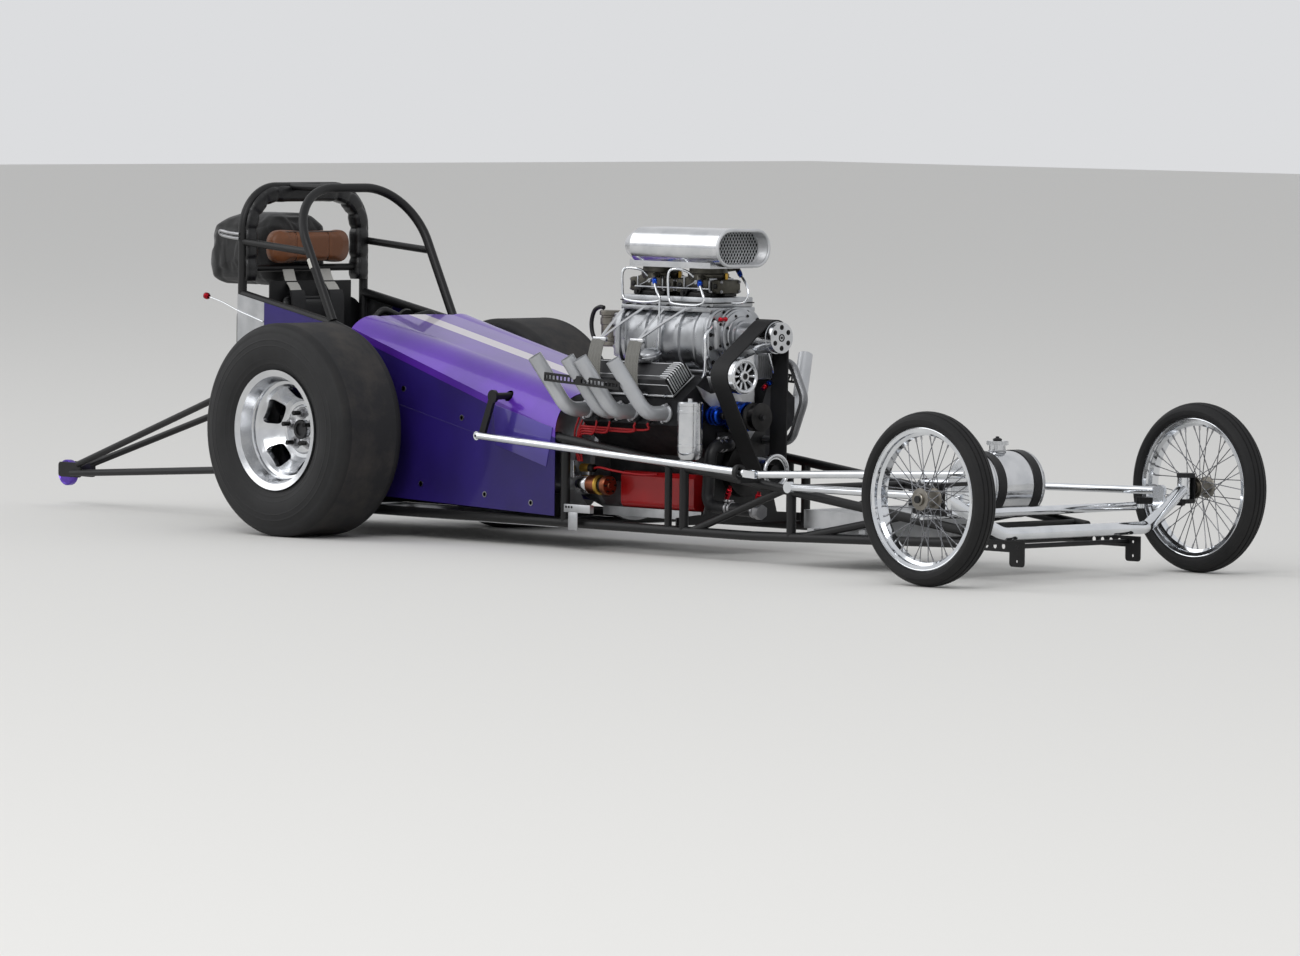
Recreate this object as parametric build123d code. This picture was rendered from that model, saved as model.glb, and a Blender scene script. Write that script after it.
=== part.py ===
from build123d import *
import math
import os

# Front-engined drag racing car. Millimetres, x forward, y to the driver's left, z up from the ground.
# Every place is written from the rear axle and moved at the end, so that the origin is under the middle.

# Stance
wheelbase = 3159.0
front_track = 1262.0
rear_track = 1028.0

# Front wheels
front_tyre_radius = 279.4
front_tyre_width = 90.0
front_rim_radius = 229.0
front_rim_seat = 216.0
front_rim_well = 206.0
front_rim_width = 64.0
front_rim_wall = 3.0
spoke_count = 40
spoke_thickness = 2.6
spoke_lacing_angle = 54.0
front_hub_radius = 20.0
front_hub_flange_radius = 36.0
front_hub_outer_reach = 49.0
front_hub_inner_reach = 34.0

# Rear wheels
rear_tyre_radius = 368.5
rear_tyre_width = 300.0
rear_tread_width = 247.0
rear_rim_radius = 207.8
rear_rim_seat = 190.5
rear_rim_width = 272.0
rear_rim_wall = 6.0
rear_disc_offset = 0.0
rear_disc_thickness = 12.0
slot_count = 5
slot_inner_radius = 110.0
slot_outer_radius = 155.0
stud_circle_radius = 57.0
stud_radius = 8.0
rear_hub_radius = 72.0
half_shaft_radius = 17.5
brake_disc_radius = 140.0
brake_disc_thickness = 10.0
brake_disc_reach = 444.0

# Clearances
running_gap = 0.05
seat_gap = 0.3
moving_gap = 6.0

# Front axle and steering
kingpin_inset = 75.0
kingpin_radius = 10.0
kingpin_boss_radius = 22.0
kingpin_boss_height = 70.0
spindle_radius = 12.0
knuckle_width = 52.0
knuckle_ear = 14.0
axle_tube_radius = 20.6
axle_drop = 120.0
axle_sweep = 42.0
axle_flat_reach = 335.0
axle_bend_radius = 110.0
steering_arm_back = 164.0
steering_arm_in = 36.0
steering_arm_drop = 57.0
tie_rod_radius = 14.5
drag_arm_in = 106.0
drag_arm_rise = 73.0
drag_link_radius = 12.5
stud_pin_radius = 5.0
rod_eye_radius = 15.0
rod_eye_width = 14.0
drift_gap = 5.0
pitman_x = 803.0
pitman_z = 510.0
pitman_drop = 136.0
pitman_back = 55.0
pitman_shaft_radius = 12.0
pitman_arm_thickness = 12.0
link_plane = 380.0
link_joint_x = 2110.0
link_joint_z = 303.0
link_guide_x = 2030.0
column_radius = 10.0
column_top = (-45.0, 0.0, 742.0)
column_foot = (745.0, -215.0, 521.0)
wheel_grip_radius = 13.0
wheel_half_width = 135.0

# Chassis tubes
rail_radius = 15.9
brace_radius = 12.7
body_half_width = 300.0
lower_rail_z = 92.0
lower_rail_nose_z = 118.0
rail_tail_x = -650.0
rail_kick_x = 2000.0
rail_nose_setback = 174.0
cowl_front_x = 1050.0
cowl_front_z = 378.0
hoop_base_x = -115.0
hoop_base_z = 726.0
shoulder_x = -598.0
shoulder_z = 815.0
nose_z = 157.0

# Roll cage
cage_top_z = 1192.0
front_hoop_top_x = -356.0
front_hoop_bend = 210.0
rear_hoop_bend = 150.0
hoop_tube_radius = 15.9
padding_radius = 32.0
padding_offset = 24.0
side_bar_z = (1000.0, 972.0)
shoulder_bar_z = 905.0
top_bar_y = 70.0
headrest_half_width = 195.0

# Body panels
panel_thickness = 1.5
cowl_rear_x = 6.0
cowl_rear_z = 758.0
cowl_crown_z = 530.0
cowl_side_rise = 26.0
cowl_top_half_width = 172.0
panel_bottom_front_z = 113.0
panel_bottom_rear_z = 145.0
panel_split_x = -112.0
rear_panel_split_x = -460.0

# Engine
crank_z = 290.0
block_rear_x = 1136.0
block_front_x = 1640.0
bank_angle = 45.0
deck_distance = 229.0
head_port_face = 262.0
head_port_low = 150.0
head_port_high = 235.0
head_inner = (152.0, 318.0)
head_width = 150.0
cover_front_x = 1585.0
cover_height = 72.0
cover_width = 108.0
port_front_x = 1555.0
port_gap_wide = 161.0
port_gap_narrow = 62.5
port_z = 480.0
header_radius = 25.0
header_wall = 1.6
header_tip_y = 450.0
header_tip_z = 660.0
header_sweep = 65.0
blower_rear_x = 1175.0
blower_front_x = 1560.0
blower_half_width = 128.0
blower_bottom_z = 606.0
blower_top_z = 832.0
carb_bottom_z = 866.0
carb_places = (1250.0, 1478.0)
carb_throat = 64.0
scoop_bottom_z = 962.0
scoop_rear_x = 1159.0
scoop_mouth_x = 1645.0
scoop_width = 246.0
scoop_height = 126.0
scoop_foot = (1196.0, 1590.0)
scoop_foot_height = 24.0
scoop_wall = 3.0

pan_rear_x = 1250.0
pan_front_x = 1606.0
pan_half_width = 180.0
pan_bottom_z = 150.0
pan_top_z = 272.0
skid_bottom_z = 120.0
bell_radius = 196.0
starter_radius = 34.0
starter_rear_x = 1050.0
starter_front_x = 1276.0
starter_z = 222.0
solenoid_radius = 15.0
alternator_y = -54.0
alternator_z = 471.0
alternator_radius = 50.0
canister_x = 1693.0
canister_top_z = 536.0
canister_radius = 43.0
magneto_base_x = 1167.0
magneto_x = 1085.0
magneto_low_z = 650.0
magneto_high_z = 800.0
hose_radius = 15.0
hose_y = 108.0
water_hose_radius = 21.0
water_hose_y = -200.0

# Blower drive
pulley_plane_x = 1770.0
belt_width = 78.0
belt_thickness = 6.0
top_pulley = (0.0, 737.0, 54.0)
top_disc_x = 1835.0
idler_disc_x = 1830.0
idler_disc_radius = 60.0
belt_drive_play = 4.0
idler_pulley = (-165.0, 611.0, 57.0)
crank_pulley = (0.0, 290.0, 48.0)

# Tank, box and wheelie bar
tank_setback = 312.0
tank_z = 294.0
tank_radius = 108.0
tank_half_length = 125.0
strap_y = 82.0
strap_width = 36.0
box_rear_x = 2200.0
box_gap = 179.0
box_top_z = 188.0
bracket_y = 270.0
bracket_reach = 79.0
bracket_width = 66.0
bracket_bottom_z = 52.0
bracket_hole_z = (70.0, 116.0)
bracket_hole_radius = 5.0
wheelie_x = -1895.0
wheelie_z = 120.0
wheelie_radius = 47.0
wheelie_width = 26.0
wheelie_tube_radius = 12.0

kingpin_reach = front_track / 2 - kingpin_inset
rail_nose_x = wheelbase - rail_nose_setback
tank_x = wheelbase - tank_setback
rail_y = body_half_width - rail_radius - seat_gap
middle_x = (wheelbase + front_tyre_radius + wheelie_x - wheelie_radius) / 2


def rod(start, end, radius):
    """A straight round bar from one point to another."""
    first, last = Vector(*start), Vector(*end)
    along = last - first
    return extrude(Plane(origin=first, z_dir=along) * Circle(radius), along.length)


def bent_tube(points, radius, bend):
    """A round bar along straight runs joined by arcs."""
    path = FilletPolyline(*points, radius=bend)
    section = Plane(origin=path @ 0, z_dir=path % 0) * Circle(radius)
    return sweep(section, path=path)


def block(low, high):
    """A plain block between two corners."""
    size = [b - a for a, b in zip(low, high)]
    centre = [(a + b) / 2 for a, b in zip(low, high)]
    return Pos(*centre) * Box(*size)


def other_side(shape):
    """The same piece on the other side of the car."""
    return mirror(shape, about=Plane.XZ)


def both_sides(shapes):
    """The right-hand pieces given, and their left-hand twins."""
    return list(shapes) + [other_side(shape) for shape in shapes]


def save(name, *shapes):
    """Write one node, moved so that the origin lies under the car's middle."""
    solids = []
    for shape in shapes:
        solids += (Pos(-middle_x, 0, 0) * shape).solids()
    export_step(Compound(children=solids), f"parts/{name}.step")


def rail_z(x):
    """Height of the upper rail's centre, which is also the crease in the body side."""
    stations = [
        (shoulder_x, shoulder_z),
        (hoop_base_x, hoop_base_z),
        (cowl_front_x, cowl_front_z),
        (rail_nose_x, nose_z),
    ]
    for (x0, z0), (x1, z1) in zip(stations, stations[1:]):
        if x <= x1:
            return z0 + (z1 - z0) * (x - x0) / (x1 - x0)
    return nose_z


def lower_z(x):
    """Height of the lower rail's centre."""
    if x <= rail_kick_x:
        return lower_rail_z
    share = (x - rail_kick_x) / (rail_nose_x - rail_kick_x)
    return lower_rail_z + share * (lower_rail_nose_z - lower_rail_z)


# Wheels are drawn about their own middle with the outer face towards -y, as on the right side.

def ring(profile):
    """A solid of revolution about y, from points of radius and y."""
    face = make_face(Polyline(*profile, close=True))
    return revolve(face, Axis.Y)


def front_tyre():
    half = front_tyre_width / 2
    bead = front_rim_width / 2 - 6
    outline = [
        Line((front_rim_seat + seat_gap, -bead), (front_rim_seat + seat_gap, bead)),
        Line((front_rim_seat + seat_gap, bead), (front_rim_radius, bead)),
        ThreePointArc((front_rim_radius, bead), (front_rim_radius + 20, half), (front_rim_radius + 38, half - 12)),
        ThreePointArc((front_rim_radius + 38, half - 12), (front_tyre_radius, 0), (front_rim_radius + 38, 12 - half)),
        ThreePointArc((front_rim_radius + 38, 12 - half), (front_rim_radius + 20, -half), (front_rim_radius, -bead)),
        Line((front_rim_radius, -bead), (front_rim_seat + seat_gap, -bead)),
    ]
    return revolve(make_face(outline), Axis.Y)


def front_wheel():
    """Wire wheel: spool rim, hub with two flanges and crossed spokes."""
    half = front_rim_width / 2
    lip = half - 5.5
    wall = front_rim_wall
    rim = ring([
        (front_rim_radius, -half), (front_rim_radius, -lip), (front_rim_seat, -lip),
        (front_rim_seat, -16), (front_rim_well, -9), (front_rim_well, 9),
        (front_rim_seat, 16), (front_rim_seat, lip), (front_rim_radius, lip),
        (front_rim_radius, half), (front_rim_seat - wall, half - 2), (front_rim_seat - wall, 18),
        (front_rim_well - wall, 10.5), (front_rim_well - wall, -10.5),
        (front_rim_seat - wall, -18), (front_rim_seat - wall, 2 - half),
    ])
    bore = spindle_radius + running_gap
    outer, inner = -front_hub_outer_reach, front_hub_inner_reach
    hub = ring([
        (bore, outer), (front_hub_radius, outer), (front_hub_radius, outer + 10),
        (front_hub_flange_radius, outer + 10), (front_hub_flange_radius, outer + 15),
        (front_hub_radius, outer + 19), (front_hub_radius + 5, inner - 16),
        (front_hub_flange_radius, inner - 12), (front_hub_flange_radius, inner - 7),
        (front_hub_radius + 5, inner - 7), (front_hub_radius + 5, inner), (bore, inner),
    ])
    spokes = []
    hole_radius = front_hub_flange_radius - 5
    for number in range(spoke_count):
        rim_angle = math.radians(360 / spoke_count * number)
        lean = 1 if (number // 2) % 2 else -1
        hub_angle = rim_angle - lean * math.radians(spoke_lacing_angle)
        hub_y = outer + 12.5 if number % 2 else inner - 9.5
        foot = Vector(hole_radius * math.cos(hub_angle), hub_y, hole_radius * math.sin(hub_angle))
        reach = front_rim_well - wall / 2
        head_y = -3 if number % 2 else 3
        head = Vector(reach * math.cos(rim_angle), head_y, reach * math.sin(rim_angle))
        section = Plane(origin=foot, z_dir=head - foot) * Rectangle(spoke_thickness, spoke_thickness)
        spokes.append(extrude(section, (head - foot).length))
    return rim.fuse(hub, *spokes)


def rear_tyre():
    """Slick with a flat tread, round shoulders and bulging walls."""
    half = rear_tyre_width / 2
    tread = rear_tread_width / 2
    bead = rear_rim_width / 2 - 11
    base = rear_rim_seat + seat_gap
    lip = rear_rim_radius
    outline = [
        Line((base, -bead), (base, bead)),
        Line((base, bead), (lip, bead)),
        ThreePointArc((lip, bead), (lip + 62, half), (rear_tyre_radius - 34, half - 8)),
        ThreePointArc((rear_tyre_radius - 34, half - 8), (rear_tyre_radius - 9, tread + 7), (rear_tyre_radius, tread - 22)),
        Line((rear_tyre_radius, tread - 22), (rear_tyre_radius, 22 - tread)),
        ThreePointArc((rear_tyre_radius, 22 - tread), (rear_tyre_radius - 9, -tread - 7), (rear_tyre_radius - 34, 8 - half)),
        ThreePointArc((rear_tyre_radius - 34, 8 - half), (lip + 62, -half), (lip, -bead)),
        Line((lip, -bead), (base, -bead)),
    ]
    return revolve(make_face(outline), Axis.Y)


def slot_cutter(angle):
    """One of the five rounded windows in the rear wheel's bowl."""
    corners = []
    for radius, spread in [(slot_inner_radius, 19), (slot_outer_radius, 19)]:
        for side in (-1, 1):
            turn = math.radians(side * spread)
            corners.append((radius * math.cos(turn), radius * math.sin(turn)))
    outline = make_face(Polyline(corners[0], corners[1], corners[3], corners[2], close=True))
    outline = fillet(outline.vertices(), 13)
    cutter = Plane.XZ.offset(rear_disc_offset - rear_disc_thickness - 8) * extrude(outline, rear_disc_thickness + 96)
    return Rot(0, angle, 0) * cutter


def rear_wheel():
    """Deep-dish slotted wheel with its hub, brake disc and half shaft."""
    half = rear_rim_width / 2
    wall = rear_rim_wall
    well = rear_rim_seat - 16
    face = -rear_disc_offset
    barrel = ring([
        (rear_rim_radius, -half), (rear_rim_radius, 9 - half), (rear_rim_seat, 10 - half),
        (rear_rim_seat, 40 - half), (well, 52 - half), (well, half - 60), (rear_rim_seat, half - 40),
        (rear_rim_seat, half - 10), (rear_rim_radius, half - 9), (rear_rim_radius, half),
        (rear_rim_seat - wall, half - 4), (rear_rim_seat - wall, half - 38), (well - wall, half - 58),
        (well - wall, 52 - half), (well - wall + 3, 47 - half), (rear_rim_radius - 22, 6 - half),
    ])
    thick = rear_disc_thickness
    disc = ring([
        (0, face - 6), (80, face - 6), (86, face), (98, face - 2), (112, face - 14), (150, face - 58),
        (158, face - 70), (well - wall + 2, face - 76), (well - wall + 2, face - 62), (164, face - 60),
        (158, face - 46), (121, face - 3), (106, face + thick), (0, face + thick),
    ])
    for number in range(slot_count):
        disc -= slot_cutter(360 / slot_count * number + 62)
    # The hub runs inwards to the brake disc, and the half shaft on to the middle of the car.
    wheel_y = rear_track / 2
    disc_y = wheel_y - brake_disc_reach
    hub = ring([
        (0, face + thick - 2), (rear_hub_radius, face + thick - 2), (rear_hub_radius, face + thick + 10),
        (44, face + thick + 16), (44, disc_y - 5), (brake_disc_radius, disc_y - 5),
        (brake_disc_radius, disc_y - 5 + brake_disc_thickness), (52, disc_y - 5 + brake_disc_thickness),
        (52, disc_y + 14), (half_shaft_radius, disc_y + 14), (half_shaft_radius, wheel_y), (0, wheel_y),
    ])
    spool = ring([
        (0, face - 10), (22, face - 10), (22, face - 18), (32, face - 18), (34, face - 15), (34, face - 5), (0, face - 5),
    ])
    studs = []
    for number in range(5):
        turn = math.radians(72 * number + 18)
        x, z = stud_circle_radius * math.cos(turn), stud_circle_radius * math.sin(turn)
        studs.append(rod((x, face - 7, z), (x, face - 48, z), stud_radius))
        studs.append(rod((x, face - 5, z), (x, face - 20, z), stud_radius + 5))
    return barrel.fuse(disc, hub, spool, *studs)


def build_wheels():
    right_front = Pos(wheelbase, -front_track / 2, front_tyre_radius)
    tyre, wheel = right_front * front_tyre(), right_front * front_wheel()
    save("front_tyre_right", tyre)
    save("front_tyre_left", other_side(tyre))
    save("front_wheel_right", wheel)
    save("front_wheel_left", other_side(wheel))
    right_rear = Pos(0, -rear_track / 2, rear_tyre_radius)
    tyre, wheel = right_rear * rear_tyre(), right_rear * rear_wheel()
    save("rear_tyre_right", tyre)
    save("rear_tyre_left", other_side(tyre))
    save("rear_wheel_right", wheel)
    save("rear_wheel_left", other_side(wheel))


def axle_housing():
    """Centre section, tubes, end bearings, brake calipers and the plates that bolt it to the rails."""
    z = rear_tyre_radius
    tube_end = brake_disc_reach - 32
    bearing = half_shaft_radius + running_gap
    bore = half_shaft_radius + moving_gap
    centre = Pos(0, 0, z) * Sphere(148)
    centre &= block((-150, -105, 0), (150, 105, 1000))
    nose = rod((60, 0, z), (205, 0, z), 62)
    tube = rod((0, -tube_end, z), (0, tube_end, z), 38)
    flanges = [rod((0, side * tube_end, z), (0, side * (tube_end - 12), z), 66) for side in (-1, 1)]
    housing = centre.fuse(nose, tube, *flanges)
    housing -= rod((0, 20 - tube_end, z), (0, tube_end - 20, z), bore)
    housing -= rod((0, -tube_end - 1, z), (0, tube_end + 1, z), bearing)
    # Each caliper straddles the disc's rear edge from an arm on the tube's end flange.
    low, high = -brake_disc_radius - 22, -brake_disc_radius + 46
    for side in (-1, 1):
        outer = brake_disc_reach + 36
        caliper = block((low, tube_end - 12, z - 42), (high, outer, z + 42))
        arm = block((high - 2, tube_end - 12, z - 18), (-50, tube_end, z + 18))
        gap = block((low + 22 - moving_gap, brake_disc_reach - 5 - moving_gap, z - 60),
                    (high + 40, brake_disc_reach + 5 + moving_gap, z + 60))
        piece = (caliper + arm) - gap
        housing = housing.fuse(piece if side > 0 else other_side(piece))
    return housing


def axle_plates():
    """Two plates each side clamp the housing tube and stand between the rails."""
    z = rear_tyre_radius
    plate_in, plate_out = rail_y - 4, rail_y + 4
    low = lower_z(0) + rail_radius - 2
    high = rail_z(0) - rail_radius - 2
    plate = block((-70, -plate_out, low), (70, -plate_in, high))
    plate -= rod((0, -400, z), (0, 0, z), 38 + 0.1)
    for height in (z - 130, z + 130):
        plate -= rod((0, -400, height), (0, 0, height), 30)
    for rail in rails():
        plate -= rail
    return plate


def rails():
    lower = bent_tube([
        (rail_tail_x, -rail_y, lower_rail_z), (rail_kick_x, -rail_y, lower_rail_z),
        (rail_nose_x, -rail_y, lower_rail_nose_z),
    ], rail_radius, 900)
    upper = bent_tube([
        (shoulder_x, -rail_y, shoulder_z), (hoop_base_x, -rail_y, hoop_base_z),
        (cowl_front_x, -rail_y, cowl_front_z), (rail_nose_x, -rail_y, nose_z),
    ], rail_radius, 300)
    return lower, upper


def front_hoop():
    top = (front_hoop_top_x, cage_top_z)
    y = rail_y
    return bent_tube([
        (hoop_base_x, -y, hoop_base_z + 10), (top[0], -y, top[1]),
        (top[0], y, top[1]), (hoop_base_x, y, hoop_base_z + 10),
    ], hoop_tube_radius, front_hoop_bend)


def front_hoop_x(z):
    """Where the leaning front hoop stands at a height."""
    slope = (front_hoop_top_x - hoop_base_x) / (cage_top_z - hoop_base_z)
    return hoop_base_x + slope * (z - hoop_base_z)


def cage_bars():
    """Ends of the bars between the hoops, and of the shoulder bar across the rear one."""
    y = rail_y
    ends = []
    for side in (-1, 1):
        ends.append(((shoulder_x, side * y, side_bar_z[0]), (front_hoop_x(side_bar_z[1]), side * y, side_bar_z[1])))
        ends.append(((shoulder_x, side * top_bar_y, cage_top_z), (front_hoop_top_x, side * top_bar_y, cage_top_z)))
    ends.append(((shoulder_x, -y, shoulder_bar_z), (shoulder_x, y, shoulder_bar_z)))
    return ends


def rear_hoop():
    y = rail_y
    x = shoulder_x
    return bent_tube([
        (x, -y, lower_rail_z + 6), (x, -y, cage_top_z), (x, y, cage_top_z), (x, y, lower_rail_z + 6),
    ], hoop_tube_radius, rear_hoop_bend)


def trimmed(members, fixed):
    """Each tube cut back to the faces of the fixed pieces and of the tubes before it."""
    done = []
    for member in members:
        for piece in fixed + done:
            if member.bounding_box().overlaps(piece.bounding_box()):
                member = member - piece
        done.append(member)
    return done


def cage_and_frame(*fittings):
    """Rails, hoops, the tubes between them, and what is welded to the frame."""
    lower, upper = rails()
    back = rear_hoop()
    upper -= back
    lower -= back
    rail_pieces = [lower, upper]
    save("frame_rails", *both_sides(rail_pieces))
    rail_group = both_sides(rail_pieces)

    front = front_hoop()
    for piece in rail_group:
        front -= piece
    y = rail_y
    bars = [rod(start, end, brace_radius) - front - back for start, end in cage_bars()]
    save("roll_cage", front, back, *bars)

    # Uprights: x, radius.
    uprights = [(1086, rail_radius), (1592, brace_radius), (1668, rail_radius), (2181, rail_radius), (-330, brace_radius)]
    braces = []
    for x, radius in uprights:
        braces.append(rod((x, -y, lower_z(x)), (x, -y, rail_z(x)), radius))
    # Diagonals: from x on the lower rail to x on the upper rail.
    nose = rail_nose_x
    for x0, x1 in [(1702, 2150), (2215, nose - 285), (-520, -362)]:
        braces.append(rod((x0, -y, lower_z(x0)), (x1, -y, rail_z(x1)), brace_radius))
    members = both_sides(braces)
    # Cross tubes: x, which rail.
    for x, height in [(rail_tail_x + 14, lower_z(0)), (-330, lower_z(0)), (1086, lower_z(1086)), (2140, lower_z(2140)),
                      (2140, rail_z(2140)), (nose - 225, lower_z(nose - 225)), (nose - 55, lower_z(nose - 55)),
                      (nose - 55, rail_z(nose - 55))]:
        members.append(rod((x, -y, height), (x, y, height), brace_radius))
    plates = both_sides([axle_plates()])
    save("frame_members", *trimmed(members, rail_group + [back]), *plates, *fittings)


def hoop_padding():
    """Fat padding along the inside of the rear hoop, hollowed for the tubes it lies against."""
    y = rail_y - padding_offset
    x = shoulder_x
    top = cage_top_z - padding_offset
    sleeve = bent_tube([
        (x, -y, 860), (x, -y, top), (x, y, top), (x, y, 860),
    ], padding_radius, rear_hoop_bend - padding_offset)
    y = rail_y
    x = shoulder_x
    sleeve -= bent_tube([
        (x, -y, 780), (x, -y, cage_top_z), (x, y, cage_top_z), (x, y, 780),
    ], hoop_tube_radius + seat_gap, rear_hoop_bend)
    for start, end in cage_bars():
        sleeve -= rod(start, end, brace_radius + seat_gap)
    return sleeve


def cowl_section(x, crown, inset):
    """Cross-section of the cowl: upright sides, round shoulders and a nearly flat top."""
    base = rail_z(x)
    half = body_half_width + panel_thickness - inset
    top = crown - inset
    side = base + cowl_side_rise
    shoulder_y = cowl_top_half_width - inset
    bottom = base if inset == 0 else base - 20
    knee = (half - (half - shoulder_y) * 0.27, side + (top - side) * 0.62)
    outline = [
        Line((-half, bottom), (-half, side)),
        ThreePointArc((-half, side), (-knee[0], knee[1]), (-shoulder_y, top - 4)),
        ThreePointArc((-shoulder_y, top - 4), (0, top), (shoulder_y, top - 4)),
        ThreePointArc((shoulder_y, top - 4), (knee[0], knee[1]), (half, side)),
        Line((half, side), (half, bottom)),
        Line((half, bottom), (-half, bottom)),
    ]
    plane = Plane(origin=(x, 0, 0), x_dir=(0, 1, 0), z_dir=(1, 0, 0))
    return plane * make_face(outline)


def cowl():
    outside = loft([cowl_section(cowl_rear_x, cowl_rear_z, 0), cowl_section(cowl_front_x, cowl_crown_z, 0)])
    inside = loft([
        cowl_section(cowl_rear_x, cowl_rear_z, panel_thickness),
        cowl_section(cowl_front_x, cowl_crown_z, panel_thickness),
    ])
    shell = outside - inside
    shell -= rod((pitman_x, -400, pitman_z), (pitman_x, -200, pitman_z), pitman_shaft_radius + moving_gap)
    return shell


def side_panel(x0, x1, bottom0, bottom1):
    """A flat sheet outside the rails, its top edge on the crease."""
    outline = [(x0, bottom0), (x1, bottom1), (x1, rail_z(x1) - seat_gap), (x0, rail_z(x0) - seat_gap)]
    if x0 < hoop_base_x < x1:
        outline.insert(3, (hoop_base_x, hoop_base_z - seat_gap))
    face = Plane.XZ.offset(body_half_width) * make_face(Polyline(*outline, close=True))
    return extrude(face, panel_thickness)


def panels():
    front = side_panel(cowl_rear_x, cowl_front_x, panel_bottom_rear_z, panel_bottom_front_z)
    z = rear_tyre_radius
    middle = side_panel(rear_panel_split_x, cowl_rear_x - 0.5, panel_bottom_rear_z, panel_bottom_rear_z)
    notch = rod((0, -400, z), (0, -200, z), 62)
    save("side_panels", *both_sides([front - notch, middle - notch]))
    rear = side_panel(shoulder_x - 6, rear_panel_split_x - 0.5, 520, 470)
    bulkhead_x = shoulder_x - hoop_tube_radius - seat_gap - 2
    bulkhead = block((bulkhead_x, -rail_y - 10, 180), (bulkhead_x + 2, rail_y + 10, 800))
    corner_edges = bulkhead.edges().filter_by(Axis.X)
    bulkhead = fillet(corner_edges, 70)
    for start, end in wheelie_tubes():
        for side in (-1, 1):
            bulkhead -= rod((start[0], side * start[1], start[2]), (end[0], side * end[1], end[2]), wheelie_tube_radius + 2)
    save("cowl", cowl())

    # Floor under the cockpit and gearbox.
    floor_top = lower_rail_z - rail_radius - seat_gap
    floor = block((rail_tail_x + 20, -rail_y, floor_top - 2), (cowl_front_x, rail_y, floor_top))
    wall_x = cowl_front_x - 6
    above = rail_z(wall_x) + rail_radius + 2
    between = rail_y - rail_radius - seat_gap
    firewall = extrude(cowl_section(wall_x, cowl_crown_z, panel_thickness + 0.8), 3)
    firewall -= block((wall_x - 5, -400, 0), (wall_x + 5, 400, above))
    firewall += block((wall_x, -between, 140), (wall_x + 3, between, above + 1))
    firewall -= rod((900, 0, crank_z), (1200, 0, crank_z), bell_radius + 10)
    wide = pan_half_width - 6
    skid_plate = block((block_rear_x + 20, -wide, skid_bottom_z), (block_front_x - 4, wide, pan_bottom_z - seat_gap))
    save("floor_and_firewall", floor, firewall, skid_plate, *both_sides([rear]))
    return bulkhead


def gearbox():
    """Bell housing, gear case and shaft to the rear axle, as one closed unit."""
    z = crank_z
    bell = Plane.YZ.offset(880) * Circle(118)
    bell_end = Plane.YZ.offset(block_rear_x - seat_gap) * Circle(bell_radius - 1)
    shapes = Pos(0, 0, z) * loft([bell, bell_end])
    case = block((470, -95, z - 120), (885, 95, z + 105))
    case = fillet(case.edges().filter_by(Axis.X), 40)
    shaft = rod((205 + seat_gap, 0, rear_tyre_radius), (475, 0, rear_tyre_radius), 32)
    flange = rod((block_rear_x - 22, 0, z), (block_rear_x - seat_gap, 0, z), bell_radius)
    return shapes.fuse(case, shaft, flange)


def engine_mounts():
    """A narrow plate across the lower rails at the engine's nose and a saddle under the gear case."""
    x = block_front_x + seat_gap
    low = lower_rail_z + rail_radius + seat_gap
    wide = body_half_width - 4
    half_outline = [(wide, low), (wide, low + 26), (170, low + 34), (112, 330), (112, 415)]
    outline = half_outline + [(-y, z) for y, z in reversed(half_outline)]
    plane = Plane(origin=(x, 0, 0), x_dir=(0, 1, 0), z_dir=(1, 0, 0))
    plate = extrude(plane * make_face(Polyline(*outline, close=True)), 6)
    plate -= rod((x - 5, 0, crank_z), (x + 20, 0, crank_z), 93)
    inner = rail_y - rail_radius - seat_gap
    saddle = block((690, -inner, lower_rail_z - 8), (720, inner, lower_rail_z + 12))
    saddle += block((690, -60, lower_rail_z + 10), (720, 60, crank_z - 120 - seat_gap))
    return plate, saddle


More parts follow.
